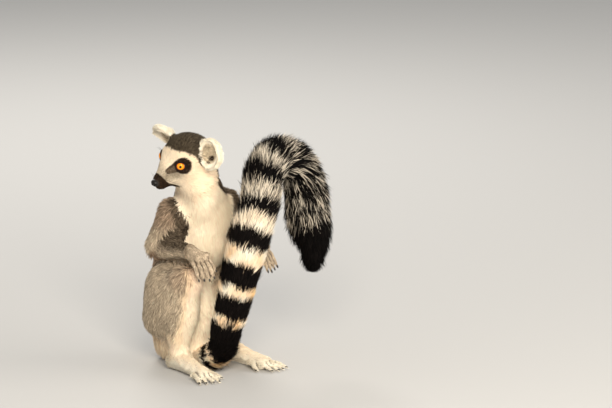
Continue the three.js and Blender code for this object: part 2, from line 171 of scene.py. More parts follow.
def ramp(value, start, end):
    """0 before start and 1 after end, eased at both."""
    share = np.clip((value - start) / (end - start), 0, 1)
    return share * share * (3 - 2 * share)


def mound(distance, reach):
    """1 in the middle, falling away over the reach."""
    return np.exp(-((distance / reach) ** 2))


def smooth_line(points, steps):
    """A smooth line through the points, as many steps to each stretch."""
    points = np.array(points, float)
    points = np.vstack([2 * points[0] - points[1], points, 2 * points[-1] - points[-2]])
    line = []
    for before, start, end, after in zip(points, points[1:], points[2:], points[3:]):
        for share in np.arange(steps) / steps:
            squared, cubed = share**2, share**3
            line.append(0.5 * (
                2 * start + share * (end - before)
                + squared * (2 * before - 5 * start + 4 * end - after)
                + cubed * (3 * start - before - 3 * end + after)
            ))
    return np.array(line + [points[-2]])


def in_ear(points, side):
    """Source coordinates to the ear's own: outward from its middle, across, and out of its cup.

    Its axes come with them, in source coordinates.
    """
    out = unit(np.array(EAR_OUT[side], float))
    facing = np.array(EAR_OPEN[side], float)
    facing = unit(facing - out * (facing @ out))
    middle = EAR_ROOT * [SIDES[side], 1, 1] + EAR_STANDS * EAR_LENGTH * out
    axes = np.stack([out, np.cross(facing, out), facing], axis=1)
    return (in_head(points) - middle) @ axes, HEAD_AXES @ axes


TAIL_LINE = smooth_line(TAIL_POINTS, 12)
TAIL_STRIDES = np.linalg.norm(np.diff(TAIL_LINE, axis=0), axis=1)
TAIL_RUN = np.concatenate([[0], np.cumsum(TAIL_STRIDES)])
TAIL_LENGTH = TAIL_RUN[-1]


def near_tail(points, batch=20000):
    """For each point: how far along the tail it lies, the tail's middle there, and its heading."""
    run = np.empty(len(points))
    middle = np.empty((len(points), 3))
    heading = np.empty((len(points), 3))
    headings = unit(np.diff(TAIL_LINE, axis=0))
    for start in range(0, len(points), batch):
        some = points[start:start + batch]
        spans = ((some[:, None] - TAIL_LINE[None]) ** 2).sum(2)
        index = np.clip(spans.argmin(1), 0, len(headings) - 1)
        onward = ((some - TAIL_LINE[index]) * headings[index]).sum(1)
        back = (onward < 0) & (index > 0)
        index = index - back
        onward = ((some - TAIL_LINE[index]) * headings[index]).sum(1)
        onward = np.clip(onward, 0, TAIL_STRIDES[index])
        run[start:start + batch] = TAIL_RUN[index] + onward
        middle[start:start + batch] = TAIL_LINE[index] + onward[:, None] * headings[index]
        heading[start:start + batch] = headings[index]
    return run, middle, heading


def tail_girth(run):
    """The radius of the tail out to the tips of its hair."""
    along = run / TAIL_LENGTH
    brush = np.sqrt(np.clip(1 - (np.maximum(along - 0.86, 0) / 0.145) ** 2, 0, 1))
    return (23 + 10 * ramp(along, 0.05, 0.4)) * brush


def tail_core(run):
    """The radius of the tail's skin."""
    return (0.64 - 0.2 * run / TAIL_LENGTH) * tail_girth(run)


def digits(member, side):
    """Each digit: its root, bend and tip, where it points, where its back faces, its radius."""
    start, end = bone(f"{member}_{side}")
    shape = DIGITS[member]
    if member == "foot":
        run = unit((end - start) * [1, 1, 0])
        across = np.array([-run[1], run[0], 0])
        onward, end = run, np.array([end[0], end[1], 8.0])
    else:
        run, across = unit(np.array(FINGERS_RUN[side], float)), unit(np.array(FINGERS_ACROSS[side]))
        onward = unit(end - start)
    inner = -np.sign(across[0] * start[0])
    for count in range(-2, 3):
        length, apart, spread, behind = shape["all"]
        length = length * (1 - shape["shorter"] * abs(count))
        if count == 2 * inner:
            length, apart, spread, behind = shape["first"]
        out = run + across * spread * count
        root = end + across * apart * count - onward * behind
        if member == "foot":
            bend = root + 6 * run + 0.5 * length * out
            tip = root + 6 * run + length * out
            bend[2], tip[2] = 10, 0.6 * shape["radius"]
            back = np.array([0, 0, 1.0])
        else:
            root = root + 2 * out
            bend = root + 14 * onward + 0.2 * length * out
            tip = root + 10 * onward + length * out
            back = unit(onward - unit(out) * (onward @ unit(out)))
        yield root, bend, tip, unit(out), back, shape["radius"]


def along_line(points, start, end):
    """How far along a straight line each point lies: 0 at its start and 1 at its end."""
    run = end - start
    return np.clip(((points - start) @ run) / (run @ run), 0, 1)


def from_line(points, start, end):
    """The way to each point from the nearest place on a straight line."""
    return points - start - along_line(points, start, end)[:, None] * (end - start)


def off_line(points, start, end):
    """The distance of each point from a straight line between two places."""
    return np.linalg.norm(from_line(points, np.array(start, float), np.array(end, float)), axis=1)


def off_path(points, path):
    """The distance of each point from a line through several places."""
    return np.min([off_line(points, *ends) for ends in zip(path, path[1:])], axis=0)


def between_digits(points, member, side):
    """1 in the clefts between the digits, 0 on them and away from them."""
    near = np.sort([
        off_path(points, (root + 0.35 * (bend - root), 0.5 * bend + 0.25 * (root + tip), tip))
        for root, bend, tip, *_ in digits(member, side)
    ], axis=0)
    return ramp(near[1] - near[0], 2.2, 0.4) * ramp(near[0], 8, 6)


# ---------------------------------------------------------------- meshes as arrays


def mesh_from(name, places, faces):
    """A smooth-shaded mesh of triangles."""
    mesh = bpy.data.meshes.new(name)
    mesh.vertices.add(len(places))
    mesh.vertices.foreach_set("co", places.astype(np.float32).ravel())
    mesh.loops.add(faces.size)
    mesh.loops.foreach_set("vertex_index", faces.astype(np.int32).ravel())
    mesh.polygons.add(len(faces))
    mesh.polygons.foreach_set("loop_start", np.arange(0, faces.size, 3, dtype=np.int32))
    mesh.update(calc_edges=True)
    mesh.polygons.foreach_set("use_smooth", np.ones(len(faces), bool))
    return mesh


def piece_from(name, mesh):
    piece = bpy.data.objects.new(name, mesh)
    bpy.context.scene.collection.objects.link(piece)
    return piece


def fixed_piece(name, mesh, finish, slot):
    """A finished piece of the lemur: it has one body, as nothing on it moves."""
    mesh.materials.append(finish)
    piece = piece_from(name, mesh)
    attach(piece, "root")
    return piece


def places_of(mesh):
    places = np.empty(3 * len(mesh.vertices), np.float32)
    mesh.vertices.foreach_get("co", places)
    return places.reshape(-1, 3).astype(float)


def triangles_of(mesh):
    mesh.calc_loop_triangles()
    faces = np.empty(3 * len(mesh.loop_triangles), np.int32)
    mesh.loop_triangles.foreach_get("vertices", faces)
    return faces.reshape(-1, 3)


def edges_of(faces):
    pairs = np.sort(np.concatenate([faces[:, [0, 1]], faces[:, [1, 2]], faces[:, [2, 0]]]), axis=1)
    return np.unique(pairs, axis=0)


def gathered(index, values, count):
    """The sum of values at each index."""
    if values.ndim == 1:
        return np.bincount(index, weights=values, minlength=count)
    return np.stack([np.bincount(index, weights=v, minlength=count) for v in values.T], axis=1)


def normals_of(places, faces):
    a, b, c = (places[faces[:, k]] for k in range(3))
    facing = np.cross(b - a, c - a)
    total = sum(gathered(faces[:, k], facing, len(places)) for k in range(3))
    return unit(total)


def relaxed(values, edges, strength, rounds):
    """Each value drawn towards the mean of its neighbours, as strongly as strength says."""
    values = values.astype(float).copy()
    count = len(values)
    neighbours = np.bincount(edges.ravel(), minlength=count)
    pull = strength if values.ndim == 1 or np.isscalar(strength) else strength[:, None]
    spread = neighbours if values.ndim == 1 else neighbours[:, None]
    for _ in range(rounds):
        total = gathered(edges[:, 0], values[edges[:, 1]], count)
        total += gathered(edges[:, 1], values[edges[:, 0]], count)
        values += pull * (total / np.maximum(spread, 1) - values)
    return values


def nearest_places(points, wanted):
    """For each wanted place, the number of the nearest of the points."""
    tree = KDTree(len(points))
    for number, point in enumerate(points.tolist()):
        tree.insert(point, number)
    tree.balance()
    return np.array([tree.find(place)[1] for place in wanted.tolist()])


def give_colour(mesh, colours):
    """The colour of each corner of the mesh, which all of the lemur's finishes read."""
    layer = mesh.attributes.new("hair_colour", "FLOAT_COLOR", "POINT")
    full = np.ones((len(colours), 4), np.float32)
    full[:, :3] = colours
    layer.data.foreach_set("color", full.ravel())


def finish_of(name, roughness, shine, wetness=0.0):
    """A finish that takes its colour from the mesh."""
    finish = bpy.data.materials.new(name)
    finish.use_nodes = True
    nodes, links = finish.node_tree.nodes, finish.node_tree.links
    shader = nodes["Principled BSDF"]
    colour = nodes.new("ShaderNodeAttribute")
    colour.attribute_name = "hair_colour"
    links.new(colour.outputs["Color"], shader.inputs["Base Color"])
    shader.inputs["Roughness"].default_value = roughness
    shader.inputs["Specular IOR Level"].default_value = shine
    shader.inputs["Coat Weight"].default_value = wetness
    shader.inputs["Coat Roughness"].default_value = 0.03
    return finish


# ---------------------------------------------------------------- the skin's volume

NODE_NAMES = sorted(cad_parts)
FLESH = sorted(set(NODE_NAMES) - {"eye_left", "eye_right", "nose"})
SWELL = 0.5  # closes the thin cuts between the members
GRAIN = 1.25  # the size of the skin's faces where the body has the finest shape

# For each member: how far its skin is smoothed, and how deep the coat lies on it.
MEMBERS = {
    "rump": (8, 9), "belly": (8, 9), "chest": (8, 10), "neck": (7, 9), "head": (4.2, 4.5),
    "muzzle": (2.8, 1.3), "nose": (2.8, 1.3), "eye": (1.5, 0.5), "ear": (1.5, 1.1),
    "upper_arm": (6, 6.5), "forearm": (4.5, 4.8), "hand": (1.4, 0.9), "thigh": (7, 7.5),
    "shin": (6, 6), "foot": (1.6, 1.2), "tail": (6, 0),
}
FACE = ("head", "muzzle", "nose", "eye")
TRUNK = ("rump", "belly", "chest", "neck")
LIMBS = ("upper_arm", "forearm", "thigh", "shin")


def member_of(name):
    return name.removesuffix("_left").removesuffix("_right").rstrip("0123456789").rstrip("_")


NODE_MEMBERS = [member_of(name) for name in NODE_NAMES]


def of(nodes, *members):
    """Which of the numbered nodes belong to the given members."""
    return np.isin(np.array(NODE_MEMBERS)[nodes], members)


def volume_of_body():
    """One closed mesh round all the solids. The tail is drawn in to its core."""
    copies = []
    for name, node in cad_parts.items():
        mesh = node.data.copy()
        if name.startswith("tail_"):
            points = source(places_of(mesh))
            run, middle, _ = near_tail(points)
            share = tail_core(run) / np.maximum(tail_girth(run), 1)
            points = middle + (points - middle) * share[:, None]
            mesh.vertices.foreach_set("co", row(points).astype(np.float32).ravel())
        copies.append(piece_from("body_of_" + name, mesh))
    bpy.ops.object.select_all(action="DESELECT")
    for copy in copies:
        copy.select_set(True)
    body = copies[0]
    bpy.context.view_layer.objects.active = body
    bpy.ops.object.join()
    bpy.ops.object.mode_set(mode="EDIT")
    bpy.ops.mesh.select_all(action="SELECT")
    bpy.ops.mesh.remove_doubles(threshold=1e-5)
    bpy.ops.object.mode_set(mode="OBJECT")
    places, faces = places_of(body.data), triangles_of(body.data)
    places += SWELL * MM * normals_of(places, faces)
    body.data.vertices.foreach_set("co", places.astype(np.float32).ravel())
    remesh = body.modifiers.new("one_volume", "REMESH")
    remesh.mode = "VOXEL"
    remesh.voxel_size = GRAIN * MM
    bpy.ops.object.modifier_apply(modifier="one_volume")
    body.select_set(False)
    places, faces = places_of(body.data), triangles_of(body.data)
    bpy.data.objects.remove(body)
    return source(places), faces


def nearest_nodes(points):
    """The solid that each point lies on, as a number into NODE_NAMES. The tail's go by its core."""
    corners, faces, owners = [], [], []
    count = 0
    for number, name in enumerate(NODE_NAMES):
        if name.startswith("tail_"):
            continue
        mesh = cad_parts[name].data
        own = triangles_of(mesh)
        corners.append(source(places_of(mesh)))
        faces.append(own + count)
        owners.append(np.full(len(own), number))
        count += len(mesh.vertices)
    tree = BVHTree.FromPolygons(
        np.concatenate(corners).tolist(), np.concatenate(faces).tolist()
    )
    faces_near, gaps = zip(*(tree.find_nearest(Vector(point))[2:] for point in points))
    found = np.concatenate(owners)[list(faces_near)]
    run, middle, _ = near_tail(points)
    on_core = np.linalg.norm(points - middle, axis=1) < tail_core(run) + 2.5
    off_body = np.array(gaps) > 6
    part = np.clip((run / TAIL_LENGTH * TAIL_PARTS).astype(int), 0, TAIL_PARTS - 1)
    tail_numbers = np.array([NODE_NAMES.index(f"tail_{n + 1}") for n in range(TAIL_PARTS)])
    return np.where(on_core | off_body, tail_numbers[part], found)


def skin_shape():
    """The skin's places in source coordinates, its faces, and each place's node and coat depth."""
    points, faces = volume_of_body()
    nodes = nearest_nodes(points)
    _, back, up = in_head(points).T
    on_skull = (nodes == NODE_NAMES.index("neck")) & (up > -6) & (back < 45)
    nodes[on_skull] = NODE_NAMES.index("head")
    edges = edges_of(faces)
    reach, depth = np.array([MEMBERS[kind] for kind in NODE_MEMBERS], float)[nodes].T
    rounds = 140
    strength = relaxed(np.clip(2 * (reach / GRAIN) ** 2 / rounds, 0, 0.6), edges, 0.5, 15)
    points = relaxed(points, edges, strength, rounds)
    _, back, up = in_head(points).T
    crown = 3 * ramp(up, 2, 16) + 6 * ramp(back - 0.5 * up, -20, 16)
    depth = relaxed(np.where(of(nodes, "head"), 1.5 + crown, depth), edges, 0.6, 130)
    sinks = 4
    for _ in range(sinks):
        normals = unit(relaxed(normals_of(points, faces), edges, 0.5, 4))
        points = points - depth[:, None] / sinks * normals
        points = relaxed(points, edges, np.minimum(strength, 0.3), 2)
    return points, faces, nodes, depth


def select_faces(piece, chosen):
    """Goes into edit mode with the chosen faces selected, and no others."""
    mesh = piece.data
    mesh.vertices.foreach_set("select", np.zeros(len(mesh.vertices), bool))
    mesh.edges.foreach_set("select", np.zeros(len(mesh.edges), bool))
    mesh.polygons.foreach_set("select", chosen)
    bpy.context.view_layer.objects.active = piece
    bpy.ops.object.mode_set(mode="EDIT")
    bpy.ops.mesh.select_mode(type="FACE")


def taken_over(piece, points, nodes, depth):
    """The piece's places and faces, with the node and coat depth of the nearest old point."""
    places, faces = source(places_of(piece.data)), triangles_of(piece.data)
    bpy.data.objects.remove(piece)
    nearest = nearest_places(points, places)
    return places, faces, nodes[nearest], depth[nearest]


def with_fewer_faces(points, faces, nodes, depth):
    """Larger faces where the skin is plain; the head, ears, hands and feet keep theirs."""
    piece = piece_from("plainer", mesh_from("plainer", row(points), faces))
    owners = nodes
    for members, share_kept in (
        ((*TRUNK, *LIMBS, "tail"), 0.13),
        (("head", "ear", "hand", "foot"), 0.6),
    ):
        if len(faces) != len(piece.data.polygons):
            places, faces = source(places_of(piece.data)), triangles_of(piece.data)
            owners = nodes[nearest_places(points, places)]
        select_faces(piece, of(owners[faces[:, 0]], *members))
        bpy.ops.mesh.decimate(ratio=share_kept)
        bpy.ops.mesh.quads_convert_to_tris()
        bpy.ops.object.mode_set(mode="OBJECT")
    return taken_over(piece, points, nodes, depth)


def eye_axes(side, looking=None):
    """The eye's middle, then its forward, outer and upper sides, in the head's coordinates."""
    middle = np.array([SIDES[side] * EYE_APART / 2, -EYE_FORWARD, -EYE_DROP], float)
    ahead = unit(np.array(looking or (SIDES[side] * 0.7, -0.69, 0.165)))
    upper = unit(np.array([0, 0, 1.0]) - ahead * ahead[2])
    return middle, ahead, SIDES[side] * np.cross(upper, ahead), upper


def eye_spread(points, side):
    """How far from the middle of the eye's opening each place lies: 1 at the edge of the lids."""
    middle, front, outer, upper = eye_axes(side)
    away = unit(in_head(points) - middle)
    ahead = away @ front
    sideways = np.arctan2(away @ outer, ahead) / EYE_OPENING[0]
    upright = np.arctan2(away @ upper, ahead) / EYE_OPENING[1]
    near = np.linalg.norm(in_head(points) - middle, axis=1) < EYE_RADIUS + 8
    return np.where(near & (ahead > 0.1), np.hypot(sideways, upright), 9.0)


def nearer_eye_spread(points):
    return np.minimum(eye_spread(points, "left"), eye_spread(points, "right"))


def with_finer_faces(points, faces, nodes, depth):
    """Smaller faces round the eyes, along the mouth and in the ears."""
    piece = piece_from("finer", mesh_from("finer", row(points), faces))
    for round_eyes, eyes_only in ((1.9, False), (1.55, True)):
        places, now = source(places_of(piece.data)), triangles_of(piece.data)
        fine = nearer_eye_spread(places) < round_eyes
        if not eyes_only:
            fine |= off_path(in_half_head(places), MOUTH) < 2.5
            for side in SIDES:
                fine |= np.linalg.norm(in_ear(places, side)[0] / [20, 22, 9], axis=1) < 1
        select_faces(piece, fine[now].all(1))
        bpy.ops.mesh.subdivide(number_cuts=1, ngon=False)
        bpy.ops.mesh.select_all(action="SELECT")
        bpy.ops.mesh.quads_convert_to_tris()
        bpy.ops.object.mode_set(mode="OBJECT")
    return taken_over(piece, points, nodes, depth)


# The forms of the face, with both sides laid over each other: place, reach and height.
FACE_FORMS = (
    ((19, -26, 9), 7, 1.3),  # brow
    ((28, -17, -14), 8, 1.0),  # cheekbone
    ((21, -35, -19), 7, -1.2),  # hollow of the cheek
    ((8, -53, -27), 7, 0.9),  # whisker pad
    ((15, -35, -1), 5, -0.7),  # inner corner of the eye
    ((12, -34, -36), 6, -0.6),  # corner of the mouth
)

# The folds in the cup of the ear: where, outward and across, their reach and their height.
EAR_FOLDS = (
    (-3, 13, 3.2, 0.8), (-4, 6, 2.6, 0.9), (-10, -13, 3, 1.8), (6, -8, 4, 1.0), (-3, -6, 3.6, -3.0),
)


def face_rise(points):
    """How far the forms of the face and the lips stand out from the skin."""
    head = in_half_head(points)
    rise = np.zeros(len(points))
    for place, reach, height in FACE_FORMS:
        rise += height * mound(np.linalg.norm(head - place, axis=1), reach)
    slit = off_path(head, MOUTH)
    return rise + (
        -1.5 * ramp(slit, 1.3, 0.2) + 0.45 * ramp(slit, 3.6, 2.2) * ramp(slit, 1.0, 1.8)
    )


def with_lids(points, side):
    """The skin round the eye brought on to the eyeball, with the rims of the lids."""
    middle = eye_axes(side)[0]
    spread = eye_spread(points, side)
    away = in_head(points) - middle
    reach = np.linalg.norm(away, axis=1)
    lid = EYE_RADIUS - 1.7 + 2.5 * ramp(spread, 0.93, 1.07) - 0.25 * ramp(spread, 1.1, 1.3)
    wanted = lid + (reach - lid) * ramp(spread, 1.22, 1.9)
    wanted = wanted - 0.35 * ramp(np.abs(spread - 1.5), 0.14, 0.0)
    placed = middle + away * (wanted / reach)[:, None]
    return np.where((spread < 1.95)[:, None], HEAD_MIDDLE + placed @ HEAD_AXES.T, points)


def with_ear_folds(points, normals, side):
    ear, axes = in_ear(points, side)
    onward, across, above = ear.T
    inside = (np.hypot(onward / 17, across / 19) < 1) & (np.abs(above) < 12)
    facing = (normals @ axes[:, 2]) > 0.25
    fold = sum(
        height * mound(np.hypot(onward - out, across - aside), reach)
        for out, aside, reach, height in EAR_FOLDS
    )
    return points + np.where(inside & facing, fold, 0)[:, None] * axes[:, 2]


def with_right_ear_drawn_in(points, nodes):
    """The far ear's skin drawn in at its tip and on its lower side, where its hair is longest."""
    ear, axes = in_ear(points, "right")
    onward, across, above = ear.T
    less = np.stack([
        0.12 * onward * ramp(onward, -14, 8), 0.24 * across * ramp(across, -2, 6), 0 * above
    ], axis=1)
    own = nodes == NODE_NAMES.index("ear_right")
    return points - own[:, None] * (less @ axes.T)


def with_face(points, faces, nodes):
    """Lids, brow, lips, the folds of the ears and the clefts between the digits."""
    points = points.copy()
    normals = normals_of(points, faces)
    for member in DIGITS:
        for side in SIDES:
            own = nodes == NODE_NAMES.index(f"{member}_{side}")
            cleft = between_digits(points[own], member, side)
            points[own] -= (1.3 * cleft)[:, None] * normals[own]
    points = points + face_rise(points)[:, None] * normals
    for side in SIDES:
        points = with_ear_folds(with_lids(points, side), normals, side)
    points = with_right_ear_drawn_in(points, nodes)
    return relaxed(points, edges_of(faces), 0.25, 1)


skin_points, skin_faces, skin_nodes, skin_depth = with_finer_faces(
    *with_fewer_faces(*skin_shape())
)
skin_points = with_face(skin_points, skin_faces, skin_nodes)
skin = fixed_piece(
    "skin", mesh_from("skin", row(skin_points), skin_faces), finish_of("hide", 0.7, 0.3), "paw_skin"
)
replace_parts(skin, *FLESH)

# ---------------------------------------------------------------- markings


def tone(red, green, blue):
    """A colour as the eye names it, 0 to 255, to the shader's own scale."""
    return (np.array([red, green, blue]) / 255) ** 2.2


GREY = tone(178, 162, 140)
HAND = tone(186, 168, 145)
DARK_GREY = tone(78, 68, 57)
BACK = tone(142, 120, 100)
CROWN = tone(72, 64, 53)
CREAM = tone(248, 225, 199)
WHITE = tone(240, 229, 210)
CHEEK = tone(238, 214, 185)
BROW = tone(224, 208, 184)
BLACK = tone(20, 17, 16)
MASK = tone(50, 39, 32)
TEAR = tone(90, 76, 62)
SNOUT = tone(134, 122, 104)
LIP = tone(50, 39, 30)
LID = tone(18, 14, 13)
TAN = tone(226, 188, 142)
PALE_TAN = tone(232, 208, 176)
RUST = tone(150, 92, 58)
INNER_EAR = tone(180, 162, 134)
AMBER = tone(240, 134, 8)
GOLD = tone(250, 172, 26)
EMBER = tone(176, 66, 6)
WHITE_OF_EYE = tone(66, 44, 32)
PUPIL = tone(8, 6, 6)
NOSE = tone(30, 26, 24)
# Painted shade inside the nostrils.
NOSTRIL_SHADE = tone(4, 3, 3)
NAIL = tone(34, 29, 27)

# The black rings of the tail, by how far along it they start and end; the last is the tip.
BLACK_RINGS = [
    (40, 52), (60, 112), (121, 154), (168, 204), (228, 252), (274, 300), (320, 349), (363, 385),
    (394, 416), (424, 445), (452, 473), (480, 497), (506, 700),
]

# Painted shade where the arm meets the bib, on the left.
BIB_EDGE_SHADE = np.array([(47, 14, 264), (52, -3, 245), (46, -9, 226), (37, -1, 212)])

# Painted shade in the hollows of the ear's cup: where, outward and across, its reach both ways and
# how dark it is.
EAR_HOLLOW_SHADE = (
    (-2, -6, 5.5, 4, 1.0), (-7, -11, 3, 2.5, 0.7),
    (-3, 9.5, 2.5, 1.3, 0.55), (-2, 15, 2.5, 1.1, 0.55),
)

# The upper edge of the dark lips: how far back, and how high.
LIPS_BACK = (-57, -52, -48.8, -42.9, -31.5, -28.9)
LIPS_UP = (0, -16, -22.2, -30.1, -36.7, -37.9)


def all_of(colour, count):
    return np.tile(colour, (count, 1))


def mixed(colour, other, share):
    share = np.clip(np.broadcast_to(share, len(colour)), 0, 1)[:, None]
    return colour * (1 - share) + other * share


def wander(points, size, seed):
    """A smooth value from about -1 to 1 that changes over the given size."""
    waves = np.random.default_rng(seed)
    total = np.zeros(len(points))
    for _ in range(6):
        heading = unit(waves.normal(size=3)) * (2 * math.pi / size) * waves.uniform(0.6, 1.5)
        total += np.sin(points @ heading + waves.uniform(0, 2 * math.pi))
    return total / 2.6


def trunk_colours(points):
    """Grey, browner on the back, with a cream bib that turns with the face."""
    height = points[:, 2]
    turn = math.radians(90) * ramp(height, 238, 300)
    facing = np.stack([-np.sin(turn), -np.cos(turn)], axis=1)
    middle = np.stack([
        np.interp(height, [190, 232, 327], [0, 4, -26]),
        np.interp(height, [42, 92, 140, 190, 232, 327], [50, 60, 56, 38, 24, 6]),
    ], axis=1)
    front = (unit(points[:, :2] - middle) * facing).sum(1) + 0.08 * wander(points, 22, 3)
    edge = np.interp(height, [60, 235, 300], [0.15, 0.3, -0.42])
    colour = mixed(all_of(GREY, len(points)), BACK, ramp(front, 0.1, -0.6))
    colour = mixed(colour, PALE_TAN, 0.9 * ramp(height, 72, 36))
    colour = mixed(colour, DARK_GREY, ramp(height, 200, 262) * ramp(front, edge - 0.9, edge - 0.2))
    return mixed(colour, CREAM, ramp(front, edge - 0.12, edge + 0.1))


def leg_colours(points, side):
    """Grey outside and cream inside and low down, with a touch of rust on the knee."""
    knee = BONES[f"shin_{side}"][0]
    inward = SIDES[side] * (knee[0] - points[:, 0]) + 2 * wander(points, 20, 5)
    ahead = ramp(points[:, 1], 34, 12) * ramp(points[:, 2] + points[:, 1], 142, 122)
    colour = mixed(all_of(GREY, len(points)), PALE_TAN, ramp(inward, -17, -11) * ahead)
    colour = mixed(colour, CREAM, ramp(inward, -12, -2) * ahead)
    colour = mixed(colour, CREAM, 0.85 * ramp(points[:, 2], 54, 28))
    return mixed(colour, RUST, 0.35 * ramp(np.linalg.norm(points - knee, axis=1), 32, 12))


def paw_colours(points, member, side):
    """Short hair, grey on the hand and white on the foot, and painted shade in the clefts between
    the digits.
    """
    hair = all_of(HAND if member == "hand" else WHITE, len(points))
    hair = mixed(hair, CREAM, ramp(points[:, 2], 10, 26) * (member == "foot"))
    # Painted shade: the clefts between the digits are painted dark.
    return mixed(hair, LIP, 0.75 * between_digits(points, member, side))


def arm_colours(points, member, side):
    """Grey, with painted shade where the arm meets the bib, and cream underneath."""
    start, end = bone(f"{member}_{side}")
    share = along_line(points, start, end)
    under = unit(from_line(points, start, end))
    inward = -SIDES[side] * under[:, 0]
    edge = off_path(points, BIB_EDGE_SHADE * [SIDES[side], 1, 1])
    colour = all_of(GREY, len(points))
    if member == "upper_arm":
        colour = mixed(colour, BACK, 0.8 * ramp(points[:, 2], 196, 232))
        # Painted shade along the crease where the upper arm meets the bib.
        colour = mixed(colour, DARK_GREY, 0.9 * ramp(edge, 13, 6))
        return mixed(colour, CREAM, ramp(inward - under[:, 1], 0.9, 1.3))
    above = ramp(under[:, 2], -0.5, 0.6)
    colour = mixed(colour, DARK_GREY, 0.95 * above * ramp(share, 0.1, 0.4))
    # Painted shade where the forearm meets the bib.
    colour = mixed(colour, DARK_GREY, 0.9 * ramp(edge, 11, 5))
    colour = mixed(colour, CREAM, 0.8 * ramp(inward - 0.5 * under[:, 2], 0.75, 1.1))
    return mixed(colour, RUST, 0.3 * ramp(share, 0.25, 0.1) * ramp(-under[:, 2], -0.2, 0.5))


def tail_colours(points):
    """Black rings on white, tan in the lower tail, and less sharp where the hair is loose."""
    run, _, _ = near_tail(points)
    loose = ramp(run, 300, 420)
    run = run + (2 + 3.5 * loose) * wander(points, 9, 8) + 1.5 * wander(points, 40, 9)
    black = np.zeros(len(points))
    for start, end in BLACK_RINGS:
        ring = ramp(run, start - 1.5, start + 1.5) * ramp(run, end + 1.5, end - 1.5)
        black = np.maximum(black, ring)
    tan = (0.15 + 0.85 * ramp(run, 310, 170)) * (0.5 + 0.4 * wander(points, 26, 10))
    pale = mixed(all_of(WHITE, len(points)), TAN, tan)
    return mixed(pale, BLACK, black)


def face_colours(points):
    """The head's markings: dark crown, mask and snout on cream, and a dark line from the eye."""
    lower_right = 4 * ramp(-in_head(points)[:, 0], 4, 24)
    head = in_half_head(points)
    left, back, up = head.T
    rough = 0.8 * wander(points, 7, 11)
    colour = mixed(all_of(CHEEK, len(points)), BROW, ramp(back, -10, -34))
    below = np.linalg.norm((head - np.array([17.5, -38.5, -16])) / [8, 12, 7], axis=1)
    colour = mixed(colour, SNOUT, 0.5 * ramp(back, -40, -50) + 0.75 * ramp(below, 2.0, 0.5))
    under_lip = ramp(np.interp(back, LIPS_BACK, LIPS_UP) - up + 0.5 * rough, -1, 1.4)
    colour = mixed(colour, LIP, under_lip * ramp(back - 0.5 * (up + 38), -25.5, -29))
    start, end = np.array([22, -30, -2.5]), np.array([9, -46.5, -11])
    share = along_line(head, start, end)
    off = from_line(head, start, end)
    width = 9.4 - 6.4 * share
    tear = ramp(np.linalg.norm(off, axis=1) + 0.4 * rough, width + 0.8, width - 0.8)
    colour = mixed(colour, TEAR, 0.95 * tear * ramp(share, 1.0, 0.9))
    colour = mixed(colour, MASK, 0.75 * tear * ramp(off[:, 2], 0.5, 4.5) * ramp(share, 0.95, 0.5))
    patch = np.linalg.norm(head - np.array([25.5, -24.8, -2.5]), axis=1) + 0.4 * rough
    colour = mixed(colour, MASK, ramp(patch, 13.8, 11.8))
    hairline = 17.2 - 13 * (left / 33) ** 4 - 1.1 * np.maximum(back + 4, 0)
    hairline -= 60 * ramp(back - left, 2, 14) + lower_right
    return mixed(colour, CROWN, ramp(up - hairline + rough, -1.2, 1.2))


def ear_colours(points, normals, side):
    """White hair outside; the cup is bare and beige, with painted shade in its hollows, darkest
    where the ear opens.
    """
    ear, axes = in_ear(points, side)
    onward, across, _ = ear.T
    cup = ramp(np.hypot((onward + 3) / 13.5, (across - 1) / 15.5), 1.05, 0.8)
    cup = cup * ramp(normals @ axes[:, 2], 0.15, 0.5)
    colour = mixed(all_of(WHITE, len(points)), INNER_EAR, 0.85 * cup)
    # Painted shade in the hollows of the cup.
    dark = np.zeros(len(points))
    for out, aside, reach_out, reach_aside, depth in EAR_HOLLOW_SHADE:
        off = np.hypot((onward - out) / reach_out, (across - aside) / reach_aside)
        dark = np.maximum(dark, depth * ramp(off, 1.2, 0.6))
    return mixed(colour, LIP, dark * cup)


def markings(points, normals, nodes):
    """The colour of each place on the skin, which the locks rooted there share."""
    colours = np.zeros((len(points), 3))
    for number, name in enumerate(NODE_NAMES):
        own = nodes == number
        if not own.any():
            continue
        member, side = NODE_MEMBERS[number], name.rsplit("_", 1)[-1]
        if member in TRUNK:
            colours[own] = trunk_colours(points[own])
        elif member in FACE:
            colours[own] = face_colours(points[own])
        elif member == "tail":
            colours[own] = tail_colours(points[own])
        elif member == "ear":
            colours[own] = ear_colours(points[own], normals[own], side)
        elif member in ("thigh", "shin"):
            colours[own] = leg_colours(points[own], side)
        elif member in DIGITS:
            colours[own] = paw_colours(points[own], member, side)
        else:
            colours[own] = arm_colours(points[own], member, side)
    return colours


# ---------------------------------------------------------------- the lie of the coat

# For each member: how many locks to a square centimetre of skin, their length and their width,
# and how high they stand as a share of the coat's depth.
LOCKS = {
    "rump": (26, 19, 2.1, 1.0), "belly": (25, 20, 2.0, 1.0), "chest": (74, 24, 1.15, 1.0),
    "neck": (84, 18, 1.1, 1.0), "head": (108, 7.5, 0.95, 1.0), "muzzle": (340, 2.8, 0.55, 0.9),
    "nose": (240, 2, 0.5, 0.9), "eye": (340, 2.6, 0.5, 0.8), "ear": (130, 6, 0.8, 1.3),
    "upper_arm": (55, 13, 1.5, 1.0), "forearm": (60, 11, 1.4, 1.0), "hand": (120, 4.5, 0.8, 1.0),
    "thigh": (45, 14, 1.6, 1.0), "shin": (46, 13, 1.5, 1.0), "foot": (105, 7, 0.85, 1.0),
    "tail": (63, 26, 1.65, 1.0),
}

# The same for parts of the head and the ears.
LOCKS_OF_FACE = (330, 2.9, 0.56, 0.9)
LOCKS_OF_CHEEK = (70, 13, 1.3, 1.0)
LOCKS_OF_EAR_RIM = (180, 6, 0.6, 1.0)
LOCKS_OF_EAR_FRONT = (130, 9, 0.65, 1.7)

NECK_LIE = (0.25, 0.1, -1)
THIGH_LIE = (0, 12, -30)


